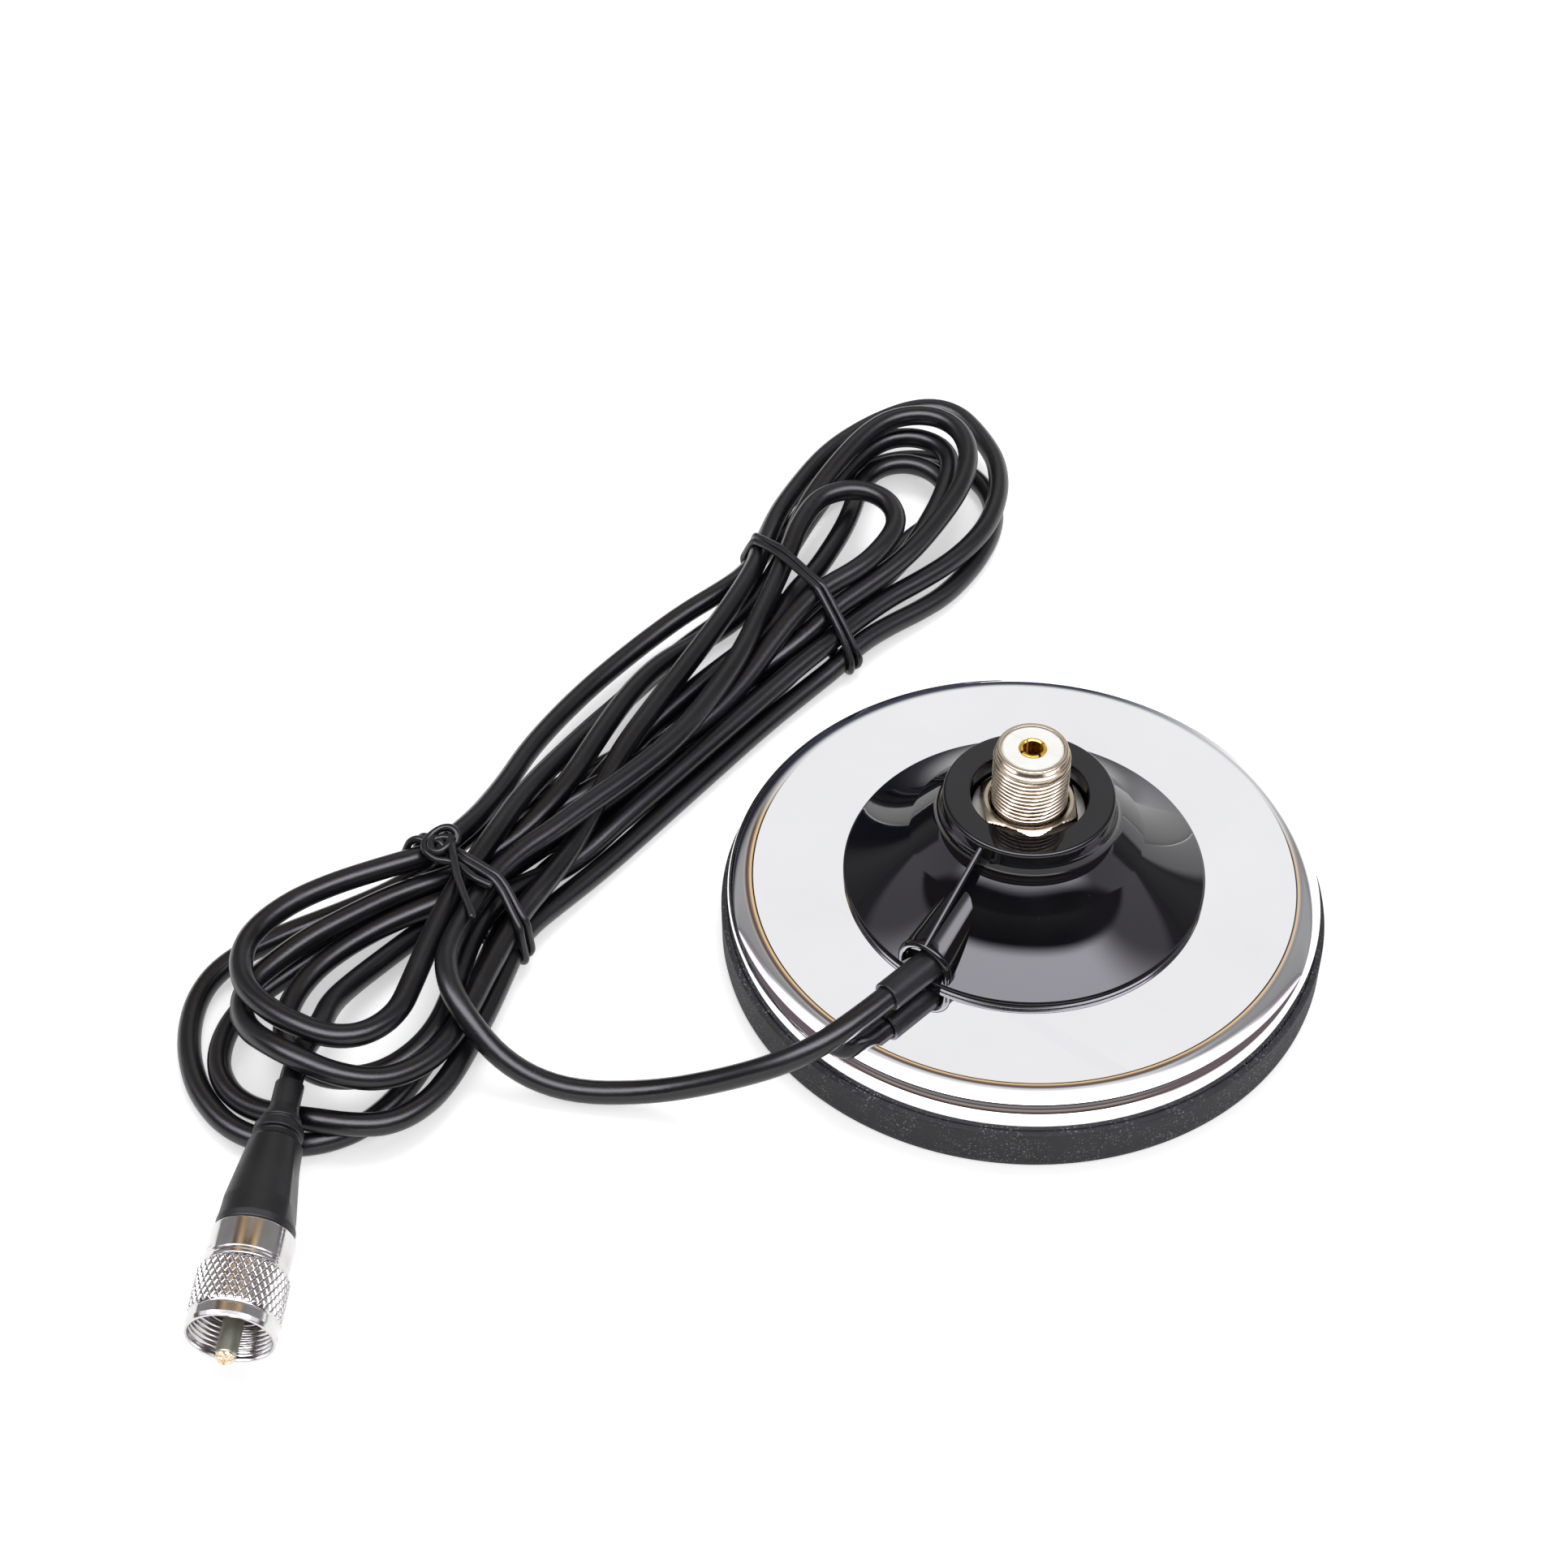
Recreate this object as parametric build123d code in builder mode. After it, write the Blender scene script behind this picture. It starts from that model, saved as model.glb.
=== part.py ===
from build123d import *
import math
import os

# Magnetic antenna mount with coax lead, hank and plug, in millimetres.
# Origin under the middle of the base, +Z up the socket, cable duct towards -Y.
os.makedirs("parts", exist_ok=True)

# Driving dimensions of the base
CUP_R = 62.8
BOOT_WALL = 1.4
BOOT_R = CUP_R + BOOT_WALL
BOOT_H = 9.9
CUP_TOP = 17.8
CONE_R = 38.2
COLLAR_R = 17.9
COLLAR_TOP = 41.6
RECESS_R = 12.2
RECESS_FLOOR = 36.4
THREAD_R = 7.94
SOCKET_TOP = 54.6
# Driving dimensions of the cord
COAX_R = 2.475
TIE_WIRE = 2.0
# Driving dimensions of the plug
RING_R = 9.0

BOOT_FLOOR = 1.6
SHEET = 1.2
RIM_REACH = 6.0
RIM_DROP = 2.6
SCREW_R = 2.5
SCREW_CLEAR = 0.2


def save(part, name):
    part.label = name
    export_step(part, "parts/" + name + ".step")
    print(name, "volume", round(part.volume, 1))


def tube(bottom, height, outer, inner):
    """A plain ring standing on the height given."""
    with BuildPart() as ring:
        with BuildSketch(Plane.XY.offset(bottom)):
            Circle(outer)
            Circle(inner, mode=Mode.SUBTRACT)
        extrude(amount=height)
    return ring.part


def turned(points):
    """A solid of revolution about Z from a closed radius and height outline."""
    with BuildPart() as solid:
        with BuildSketch(Plane.XZ):
            with BuildLine():
                Polyline(*points, close=True)
            make_face()
        revolve(axis=Axis.Z)
    return solid.part


# Rubber boot over the foot of the cup
with BuildPart() as rubber_boot:
    with BuildSketch():
        Circle(BOOT_R)
    extrude(amount=BOOT_H)
    with BuildSketch(Plane.XY.offset(BOOT_FLOOR)):
        Circle(CUP_R)
    extrude(amount=BOOT_H, mode=Mode.SUBTRACT)
    circles = rubber_boot.edges().filter_by(GeomType.CIRCLE)
    fillet(circles.filter_by(lambda e: abs(e.radius - BOOT_R) < 0.01), radius=0.5)
save(rubber_boot.part, "rubber_boot")

# Pressed cup: flat top that curves down to an upright wall over a quarter ellipse
rim_middle = (CUP_R - RIM_REACH, CUP_TOP - RIM_DROP)
with BuildPart() as chrome_cup:
    with BuildSketch(Plane.XZ):
        with BuildLine():
            Line((0, CUP_TOP), (rim_middle[0], CUP_TOP))
            EllipticalCenterArc(rim_middle, RIM_REACH, RIM_DROP, start_angle=0, arc_size=90)
            Line((CUP_R, rim_middle[1]), (CUP_R, BOOT_FLOOR))
            Line((CUP_R, BOOT_FLOOR), (CUP_R - SHEET, BOOT_FLOOR))
            Line((CUP_R - SHEET, BOOT_FLOOR), (CUP_R - SHEET, rim_middle[1]))
            EllipticalCenterArc(
                rim_middle, RIM_REACH - SHEET, RIM_DROP - SHEET, start_angle=0, arc_size=90
            )
            Line((rim_middle[0], CUP_TOP - SHEET), (0, CUP_TOP - SHEET))
            Line((0, CUP_TOP - SHEET), (0, CUP_TOP))
        make_face()
    revolve(axis=Axis.Z)
    with Locations((0, 0, CUP_TOP - SHEET / 2)):
        Hole(radius=SCREW_R + SCREW_CLEAR, depth=SHEET)
save(chrome_cup.part, "chrome_cup")

# Ring magnet glued under the top of the cup
MAGNET_GAP = 9.6
MAGNET_R = CUP_R - SHEET - MAGNET_GAP
MAGNET_HOLE_R = 22.0
save(tube(BOOT_FLOOR, CUP_TOP - SHEET - BOOT_FLOOR, MAGNET_R, MAGNET_HOLE_R), "ring_magnet")

# Stack over the cup: pillar, ground lug, socket flange, cone, washer, nut
CONE_SKIN = 1.4
FLANGE_T = 1.8
LUG_T = 0.6
WASHER_T = 0.8
NUT_T = 2.8
FLANGE_TOP = RECESS_FLOOR - CONE_SKIN
FLANGE_BOTTOM = FLANGE_TOP - FLANGE_T
LUG_BOTTOM = FLANGE_BOTTOM - LUG_T
WASHER_TOP = RECESS_FLOOR + WASHER_T
SPIGOT_R = 7.2
PILLAR_R = 10.4
PILLAR_FLOOR = 3.5
BORE_R = 6.38

# Screw and spring washer under the cup
SPRING_T = 1.2
HEAD_H = 2.8
SPRING_TOP = CUP_TOP - SHEET
with BuildPart() as centre_screw:
    with BuildSketch(Plane.XY.offset(SPRING_TOP - SPRING_T - HEAD_H)):
        Circle(4.6)
    extrude(amount=HEAD_H)
    fillet(centre_screw.edges().sort_by(Axis.Z)[0], radius=1.2)
    with BuildSketch(Plane.XY.offset(SPRING_TOP - SPRING_T)):
        Circle(SCREW_R)
    extrude(amount=SPRING_T + SHEET + PILLAR_FLOOR)
    with BuildSketch(Plane.XY.offset(SPRING_TOP - SPRING_T - HEAD_H)):
        Rectangle(5.0, 1.0)
        Rectangle(1.0, 5.0)
    extrude(amount=1.6, mode=Mode.SUBTRACT)
save(centre_screw.part, "centre_screw")

with BuildPart() as spring_washer:
    add(tube(SPRING_TOP - SPRING_T, SPRING_T, 4.4, SCREW_R + SCREW_CLEAR))
    with Locations((3.6, 0, SPRING_TOP - SPRING_T / 2)):
        Box(3.0, 0.5, 2 * SPRING_T, mode=Mode.SUBTRACT)
save(spring_washer.part, "spring_washer")

# Hollow pillar that carries the socket, slotted for the coax
COAX_Z = 22.5
with BuildPart() as pillar:
    add(tube(CUP_TOP, LUG_BOTTOM - CUP_TOP, PILLAR_R, SPIGOT_R + 0.4))
    with BuildSketch(Plane.XY.offset(CUP_TOP)):
        Circle(PILLAR_R)
        Circle(SCREW_R, mode=Mode.SUBTRACT)
    extrude(amount=PILLAR_FLOOR)
    with Locations((1.0, -PILLAR_R, CUP_TOP + PILLAR_FLOOR + 3.5)):
        Box(7.0, 8.0, 7.0, mode=Mode.SUBTRACT)
save(pillar.part, "pillar")

# Ground lug under the socket flange
with BuildPart() as ground_lug:
    with BuildSketch(Plane.XY.offset(LUG_BOTTOM)):
        Circle(PILLAR_R)
        with Locations((0, -PILLAR_R - 1.0)):
            Rectangle(4.0, 8.0)
        Circle(SPIGOT_R, mode=Mode.SUBTRACT)
    extrude(amount=LUG_T)
save(ground_lug.part, "ground_lug")

# Socket shell: free thread as a plain cylinder at its outside diameter, plain lead-in above.
# Under the nut and in its bore the thread is plain at its mean diameter.
THREAD_DEPTH = 0.34
THREAD_SEAT_R = THREAD_R - THREAD_DEPTH
FREE_THREAD = WASHER_TOP + NUT_T + 0.1
LEAD_IN_R = 7.35
LEAD_IN_H = 1.7
with BuildPart() as socket_shell:
    add(
        turned(
            [
                (BORE_R, FLANGE_BOTTOM - 2.0),
                (SPIGOT_R, FLANGE_BOTTOM - 2.0),
                (SPIGOT_R, FLANGE_BOTTOM),
                (PILLAR_R + 0.6, FLANGE_BOTTOM),
                (PILLAR_R + 0.6, FLANGE_TOP),
                (THREAD_SEAT_R, FLANGE_TOP),
                (THREAD_SEAT_R, FREE_THREAD),
                (THREAD_R, FREE_THREAD),
                (THREAD_R, SOCKET_TOP - LEAD_IN_H - 0.5),
                (LEAD_IN_R, SOCKET_TOP - LEAD_IN_H),
                (LEAD_IN_R, SOCKET_TOP - 0.6),
                (LEAD_IN_R - 0.5, SOCKET_TOP),
                (BORE_R, SOCKET_TOP),
            ]
        )
    )
save(socket_shell.part, "socket_shell")

# Insulator and slotted centre contact
CONTACT_R = 2.8
PIN_BORE_R = 2.0
CUP_LEN = 4.0
SOCKET_FACE = SOCKET_TOP - 0.15
save(tube(FLANGE_BOTTOM - 2.0, SOCKET_FACE - FLANGE_BOTTOM + 2.0, BORE_R, CONTACT_R), "socket_insulator")

CORE_WIRE_R = 0.45
with BuildPart() as socket_contact:
    add(tube(FLANGE_BOTTOM - 2.0, SOCKET_TOP + 0.1 - FLANGE_BOTTOM + 2.0, CONTACT_R, PIN_BORE_R))
    add(tube(FLANGE_BOTTOM - 2.0 - CUP_LEN, CUP_LEN, 1.6, CORE_WIRE_R))
    with BuildSketch(Plane.XY.offset(FLANGE_BOTTOM - 2.0)):
        Circle(PIN_BORE_R)
    extrude(amount=1.5)
    with Locations((0, 0, SOCKET_TOP)):
        Box(2 * CONTACT_R + 1, 0.5, 12.0, mode=Mode.SUBTRACT)
        Box(0.5, 2 * CONTACT_R + 1, 12.0, mode=Mode.SUBTRACT)
save(socket_contact.part, "socket_contact")

# Washer and hex nut in the recess
with BuildPart() as flat_washer:
    add(tube(RECESS_FLOOR, WASHER_T, 11.9, THREAD_R))
save(flat_washer.part, "flat_washer")

NUT_CORNER_R = 11.0
NUT_TURN = 10.5
with BuildPart() as hex_nut:
    with BuildSketch(Plane.XY.offset(WASHER_TOP)):
        RegularPolygon(radius=NUT_CORNER_R, side_count=6, rotation=NUT_TURN)
    extrude(amount=NUT_T)
    with BuildPart(mode=Mode.INTERSECT):
        add(
            turned(
                [
                    (0, WASHER_TOP),
                    (NUT_CORNER_R + 0.1, WASHER_TOP),
                    (NUT_CORNER_R + 0.1, WASHER_TOP + NUT_T - 0.5),
                    (NUT_CORNER_R - 0.8, WASHER_TOP + NUT_T),
                    (0, WASHER_TOP + NUT_T),
                ]
            )
        )
    with BuildSketch(Plane.XY.offset(WASHER_TOP)):
        Circle(THREAD_SEAT_R)
    extrude(amount=NUT_T, mode=Mode.SUBTRACT)
save(hex_nut.part, "hex_nut")

# Strain sleeve: its axis leaves the duct a little to the left of square
SLEEVE_R = 3.25
SLEEVE_YAW = 8.0
SLEEVE_MOUTH = (1.0, -37.0)
SLEEVE_BACK = 2.0
SLEEVE_FRONT = 12.1
yaw = math.radians(SLEEVE_YAW)
sleeve_dir = Vector(-math.sin(yaw), -math.cos(yaw), 0)
mouth = Vector(SLEEVE_MOUTH[0], SLEEVE_MOUTH[1], COAX_Z)
sleeve_start = mouth - sleeve_dir * SLEEVE_BACK
sleeve_end = mouth + sleeve_dir * SLEEVE_FRONT
JACKET_BACK = 13.0
JACKET_GAP = 0.4
jacket_start = mouth - sleeve_dir * JACKET_BACK


def rod(start, direction, length, radius, inner=0.0):
    """A round bar or tube from a point along a direction."""
    with BuildPart() as bar:
        with BuildSketch(Plane(origin=start, z_dir=direction)):
            Circle(radius)
            if inner > 0:
                Circle(inner, mode=Mode.SUBTRACT)
        extrude(amount=length)
    return bar.part


# Cone cover: outside and inside outlines, cable duct and thin rib
CONE_EDGE = 0.7
SHOULDER_R = 22.2
SHOULDER_Z = 32.4
COLLAR_FOOT = 36.2
DUCT_MOUTH = 37.3
DUCT_TOP_Y = 17.0
with BuildPart() as outer_cone:
    with BuildSketch(Plane.XZ):
        with BuildLine():
            edge_top = (CONE_R, CUP_TOP + CONE_EDGE)
            Line((0, CUP_TOP), (CONE_R, CUP_TOP))
            Line((CONE_R, CUP_TOP), edge_top)
            Line(edge_top, (SHOULDER_R, SHOULDER_Z))
            slope = (SHOULDER_R - CONE_R, SHOULDER_Z - CUP_TOP - CONE_EDGE)
            TangentArc((SHOULDER_R, SHOULDER_Z), (COLLAR_R, COLLAR_FOOT), tangent=slope)
            Line((COLLAR_R, COLLAR_FOOT), (COLLAR_R, COLLAR_TOP))
            Line((COLLAR_R, COLLAR_TOP), (0, COLLAR_TOP))
            Line((0, COLLAR_TOP), (0, CUP_TOP))
        make_face()
    revolve(axis=Axis.Z)
    lip = outer_cone.edges().filter_by(GeomType.CIRCLE).sort_by(Axis.Z)[-1]
    fillet(lip, radius=0.8)


def arch(distance, half_width, crown):
    """An upright arch outline, standing on the cup, facing -Y."""
    foot = CUP_TOP
    spring = crown - half_width
    with BuildSketch(Plane(origin=(0, -distance, 0), x_dir=(1, 0, 0), z_dir=(0, -1, 0))) as outline:
        with BuildLine():
            Line((-half_width, foot), (half_width, foot))
            Line((half_width, foot), (half_width, spring))
            ThreePointArc((half_width, spring), (0, crown), (-half_width, spring))
            Line((-half_width, spring), (-half_width, foot))
        make_face()
    return outline.sketch


ARCH_WALL = 1.2
SLEEVE_ROOM = 1.7
ARCH_HALF = SLEEVE_R + SLEEVE_ROOM + ARCH_WALL
ARCH_CROWN = COAX_Z + SLEEVE_R + ARCH_WALL + 0.45
ARCH_BACK_HALF = 4.3
ARCH_BACK_CROWN = 34.0
with BuildPart() as hump:
    add(
        loft(
            [
                arch(DUCT_TOP_Y, ARCH_BACK_HALF, ARCH_BACK_CROWN).face(),
                arch(DUCT_MOUTH, ARCH_HALF, ARCH_CROWN).face(),
            ]
        )
    )
with BuildPart() as channel:
    add(
        loft(
            [
                arch(DUCT_TOP_Y - 2, ARCH_BACK_HALF - ARCH_WALL, ARCH_BACK_CROWN - ARCH_WALL).face(),
                arch(DUCT_MOUTH + 2, ARCH_HALF - ARCH_WALL, ARCH_CROWN - ARCH_WALL - 0.2).face(),
            ]
        )
    )

RIB_T = 1.2
with BuildPart() as rib:
    with BuildSketch(Plane.YZ):
        with BuildLine():
            Polyline(
                (-COLLAR_R + 1, COLLAR_TOP - 1.2),
                (-COLLAR_R, COLLAR_TOP - 1.2),
                (-DUCT_MOUTH, ARCH_CROWN + 0.1),
                (-DUCT_MOUTH, ARCH_CROWN - 1.0),
                (-COLLAR_R + 1, COLLAR_FOOT - 5.0),
                close=True,
            )
        make_face()
    extrude(amount=RIB_T / 2, both=True)

INNER_R = 15.6
inside = turned(
    [
        (PILLAR_R + 0.6, CUP_TOP),
        (CONE_R - 2.6, CUP_TOP),
        (SHOULDER_R - 2.0, SHOULDER_Z - 1.4),
        (INNER_R, FLANGE_TOP),
        (PILLAR_R + 0.6, FLANGE_TOP),
    ]
)
core = turned([(0, CUP_TOP), (PILLAR_R + 0.6, CUP_TOP), (PILLAR_R + 0.6, FLANGE_TOP), (0, FLANGE_TOP)])
WEB_T = 1.5
with BuildPart() as cone_cover:
    add(outer_cone.part)
    add(hump.part)
    add(rib.part)
    add(inside, mode=Mode.SUBTRACT)
    add(core, mode=Mode.SUBTRACT)
    add(channel.part, mode=Mode.SUBTRACT)
    with BuildSketch(Plane.XY.offset(FLANGE_TOP)):
        Circle(THREAD_R)
    extrude(amount=CONE_SKIN, mode=Mode.SUBTRACT)
    with BuildSketch(Plane.XY.offset(RECESS_FLOOR)):
        Circle(RECESS_R)
    extrude(amount=COLLAR_TOP, mode=Mode.SUBTRACT)
    with BuildPart():
        with Locations((0, -DUCT_MOUTH + 1.2 + WEB_T / 2, CUP_TOP + 4.1)):
            Box(2 * (ARCH_HALF - 0.6), WEB_T, 8.2)
    add(rod(sleeve_start - sleeve_dir, sleeve_dir, 20, SLEEVE_R), mode=Mode.SUBTRACT)
    add(rod(jacket_start, sleeve_dir, JACKET_BACK, COAX_R + JACKET_GAP), mode=Mode.SUBTRACT)
save(cone_cover.part, "cone_cover")

save(rod(sleeve_start, sleeve_dir, SLEEVE_BACK + SLEEVE_FRONT, SLEEVE_R, COAX_R), "strain_sleeve")
save(rod(jacket_start, sleeve_dir, JACKET_BACK + SLEEVE_FRONT, COAX_R), "coax_entry")

# Stripped end of the coax inside the cone
DIELECTRIC_R = 1.475
core_points = [
    jacket_start,
    jacket_start - sleeve_dir * 4.0,
    Vector(0, 0, COAX_Z + 1.2),
    Vector(0, 0, FLANGE_BOTTOM - 2.0 - CUP_LEN),
]


def bent(points, radii, radius):
    """A round cord of straight runs and tangent arcs."""
    with BuildPart() as cord:
        with BuildLine() as path:
            FilletPolyline(*points, radius=radii)
        with BuildSketch(Plane(origin=path.line @ 0, z_dir=path.line % 0)):
            Circle(radius)
        sweep(path=path.line)
    return cord.part


with BuildPart() as coax_dielectric:
    add(bent(core_points, [6.0, 2.6], DIELECTRIC_R))
save(coax_dielectric.part, "coax_dielectric")
save(rod(core_points[-1], Vector(0, 0, 1), CUP_LEN, CORE_WIRE_R), "coax_conductor")

BRAID_R = 0.45
braid_start = jacket_start + Vector(0, 0, COAX_R - BRAID_R)
braid_points = [
    braid_start,
    braid_start - sleeve_dir * 3.0,
    Vector(0.6, -PILLAR_R - 3.0, LUG_BOTTOM - 5.0),
    Vector(0.6, -PILLAR_R - 3.0, LUG_BOTTOM),
]
save(bent(braid_points, [2.0, 2.0], BRAID_R), "braid_tail")

# Free cord: straight runs joined by tangent arcs, the radius worked out at each corner
LEAD_POINTS = [
    (-0.69, -48.98, 22.5),
    (-2.44, -61.46, 22.5),
    (-8.5, -71.5, 18.5),
    (-20.5, -78.5, 10.5),
    (-33.5, -85.8, 4.2),
    (-48.5, -95.0, 2.6),
    (-62.0, -99.2, 6.6),
    (-75.0, -97.8, 14.6),
    (-86.0, -90.0, 17.6),
    (-91.5, -79.0, 14.0),
]
CORNER_SHARE = 0.45


def corner_radii(points):
    """The radius at each corner, from its shorter run and its turn."""
    radii = []
    for before, here, after in zip(points, points[1:], points[2:]):
        arriving = Vector(*here) - Vector(*before)
        leaving = Vector(*after) - Vector(*here)
        turn = math.radians(arriving.get_angle(leaving))
        shorter = min(arriving.length, leaving.length)
        radii.append(CORNER_SHARE * shorter / math.tan(turn / 2))
    return radii


def coax(points, name):
    """A coax tube, with its bend radii and its volume against section times length."""
    radii = corner_radii(points)
    print(name, "bend radii", [round(r, 1) for r in radii])
    with BuildLine() as path:
        FilletPolyline(*points, radius=radii)
    length = sum(edge.length for edge in path.edges())
    print(name, "length", round(length, 1), "expected volume", round(length * math.pi * COAX_R**2, 1))
    return bent(points, radii, COAX_R)


lead_points = [tuple(sleeve_end)] + LEAD_POINTS[1:]
print("sleeve end", [round(c, 2) for c in sleeve_end])
save(coax(lead_points, "coax_lead"), "coax_lead")

# Hank of coax as one closed shape: stations of distance, middle, width and height
TIE_W = 4.2
NECK_BOTTOM = TIE_WIRE + 0.2
LOWER_TIE_Y = -68.0
UPPER_TIE_Y = 49.0
LOWER_NECK = (-96.0, 33.0, 17.5)
UPPER_NECK = (-95.0, 42.0, 16.0)
NECK_HALF = 5.0
HANK_ROUND = 2.3


def station(y, middle, width, top, bottom=0.05):
    """One upright rounded section of the hank."""
    height = top - bottom
    upright = Plane(origin=(middle, y, bottom + height / 2), x_dir=(1, 0, 0), z_dir=(0, 1, 0))
    with BuildSketch(upright) as section:
        RectangleRounded(width, height, min(HANK_ROUND, 0.465 * height))
    return section.sketch.face()


def neck(y, size):
    middle, width, top = size
    return station(y, middle, width, top, NECK_BOTTOM)


hank_sections = [
    station(-144.3, -97.5, 22.0, 5.0),
    station(-134.0, -100.0, 50.0, 7.2),
    station(-120.0, -98.5, 62.0, 17.5),
    station(-104.0, -98.0, 60.0, 19.0),
    station(-84.0, -97.5, 42.0, 18.0),
    neck(LOWER_TIE_Y - NECK_HALF, LOWER_NECK),
    neck(LOWER_TIE_Y + NECK_HALF, LOWER_NECK),
    station(-50.0, -98.0, 36.0, 16.0),
    station(-13.0, -100.5, 43.0, 15.0),
    neck(UPPER_TIE_Y - NECK_HALF, UPPER_NECK),
    neck(UPPER_TIE_Y + NECK_HALF, UPPER_NECK),
    station(75.0, -98.0, 52.0, 18.0),
    station(105.0, -101.0, 50.0, 20.0),
    station(124.0, -103.0, 38.0, 18.0),
    station(131.5, -107.5, 18.0, 12.0),
]
with BuildPart() as coax_hank:
    loft(sections=hank_sections, ruled=True)
    with BuildSketch(Plane.XY):
        with Locations((-97.0, 84.0)):
            SlotOverall(36.0, 11.0, rotation=90)
        with Locations((-92.5, -104.0)):
            SlotOverall(22.0, 6.0, rotation=90)
    extrude(amount=40, mode=Mode.SUBTRACT)
save(coax_hank.part, "coax_hank")


def tie(y, size):
    """Two turns of tie wire round a neck of the hank, as one band."""
    middle, width, top = size
    height = top - NECK_BOTTOM
    plane = Plane(origin=(middle, y - TIE_W / 2, NECK_BOTTOM + height / 2), x_dir=(1, 0, 0), z_dir=(0, 1, 0))
    with BuildPart() as band:
        with BuildSketch(plane):
            RectangleRounded(width + 2 * TIE_WIRE, height + 2 * TIE_WIRE, HANK_ROUND + TIE_WIRE)
            RectangleRounded(width, height, HANK_ROUND, mode=Mode.SUBTRACT)
        extrude(amount=TIE_W)
    return band.part


save(tie(LOWER_TIE_Y, LOWER_NECK), "lower_tie")
save(tie(UPPER_TIE_Y, UPPER_NECK), "upper_tie")

# Plug: its own axis runs from the middle of the mouth back to the cable
PLUG_MOUTH = Vector(-57.1, -180.7, RING_R + 0.05)
PLUG_TAIL = Vector(-88.2, -131.8, 12.3)
plug_back = (PLUG_TAIL - PLUG_MOUTH).normalized()
plug_plane = Plane(origin=PLUG_MOUTH, z_dir=plug_back)
print("plug axis towards the mouth", [round(-c, 5) for c in plug_back])
NECK_END = (PLUG_TAIL - PLUG_MOUTH).length
print("plug length", round(NECK_END, 2))
RING_LEN = 13.6
RING_THREAD_R = 7.94
RING_WALL = 2.0
RUN_GAP = 0.05
BODY_NECK_R = 6.95
BAND_R = 8.3
BAND_END = 22.2
BOOT_R_WIDE = 7.8
PLUG_PIN_R = 2.0
PIN_OUT = 5.7
INSULATOR_R = 5.6
BODY_FRONT = 6.0
SPIGOT_END = 31.0
CORE_END = 16.0


def on_plug(points):
    """A turned piece of the plug: radius and distance behind the mouth."""
    return plug_plane * turned(points)


ring_face = RING_LEN - RING_WALL
coupling_ring = on_plug(
    [
        (RING_THREAD_R + 0.3, 0),
        (RING_R - 0.4, 0),
        (RING_R, 0.4),
        (RING_R, RING_LEN - 0.5),
        (RING_R - 0.5, RING_LEN),
        (BODY_NECK_R + RUN_GAP, RING_LEN),
        (BODY_NECK_R + RUN_GAP, ring_face),
        (RING_THREAD_R, ring_face),
        (RING_THREAD_R, 0.3),
    ]
)
save(coupling_ring, "coupling_ring")

plug_body = on_plug(
    [
        (INSULATOR_R, BODY_FRONT),
        (BODY_NECK_R, BODY_FRONT),
        (BODY_NECK_R, ring_face - 1.6),
        (RING_THREAD_R - 2 * RUN_GAP, ring_face - 1.6),
        (RING_THREAD_R - 2 * RUN_GAP, ring_face - RUN_GAP),
        (BODY_NECK_R, ring_face - RUN_GAP),
        (BODY_NECK_R, RING_LEN + RUN_GAP),
        (BAND_R - 0.3, RING_LEN + RUN_GAP),
        (BAND_R, RING_LEN + RUN_GAP + 0.3),
        (BAND_R, BAND_END),
        (BAND_R - 2.4, BAND_END),
        (BAND_R - 2.4, SPIGOT_END),
        (COAX_R, SPIGOT_END),
        (COAX_R, CORE_END),
        (INSULATOR_R, CORE_END),
    ]
)
save(plug_body, "plug_body")

plug_insulator = on_plug(
    [
        (PLUG_PIN_R, BODY_FRONT + 0.5),
        (INSULATOR_R, BODY_FRONT + 0.5),
        (INSULATOR_R, CORE_END),
        (PLUG_PIN_R, CORE_END),
    ]
)
save(plug_insulator, "plug_insulator")

plug_pin = on_plug(
    [
        (0, -PIN_OUT),
        (1.0, -PIN_OUT),
        (1.7, -PIN_OUT + 0.6),
        (PLUG_PIN_R, -PIN_OUT + 1.4),
        (PLUG_PIN_R, CORE_END),
        (0, CORE_END),
    ]
)
save(plug_pin, "plug_pin")

# Boot: cylinder, taper, two grooves and a neck over the cable
NECK_R = 2.95
plug_boot = on_plug(
    [
        (BAND_R - 2.4, BAND_END),
        (BOOT_R_WIDE - 0.1, BAND_END),
        (BOOT_R_WIDE, 28.5),
        (5.5, 43.5),
        (4.6, 44.2),
        (4.6, 45.2),
        (5.1, 45.7),
        (5.0, 47.2),
        (4.2, 47.5),
        (4.2, 48.4),
        (4.7, 48.8),
        (4.4, 50.3),
        (NECK_R + 0.15, 50.6),
        (NECK_R, NECK_END),
        (COAX_R, NECK_END),
        (COAX_R, SPIGOT_END),
        (BAND_R - 2.4, SPIGOT_END),
    ]
)
save(plug_boot, "plug_boot")
save(on_plug([(0, CORE_END), (COAX_R, CORE_END), (COAX_R, NECK_END), (0, NECK_END)]), "coax_plug_end")

tail_points = [
    tuple(PLUG_TAIL),
    tuple(PLUG_TAIL + plug_back * 6.5),
    (-94.8, -116.5, 11.0),
]
save(coax(tail_points, "coax_tail"), "coax_tail")
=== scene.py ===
"""Magnetic antenna mount with its coiled coax lead and plug, dressed for rendering.

Every length inside the functions is in millimetres in the object's own frame:
origin under the middle of the base, Z up the socket, the cable duct towards -Y.
"""
import math

import bpy
import numpy as np
from bpy.props import FloatProperty, FloatVectorProperty, IntProperty, PointerProperty
from bpy.types import Operator, Panel, PropertyGroup
from mathutils import Matrix, Vector


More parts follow.
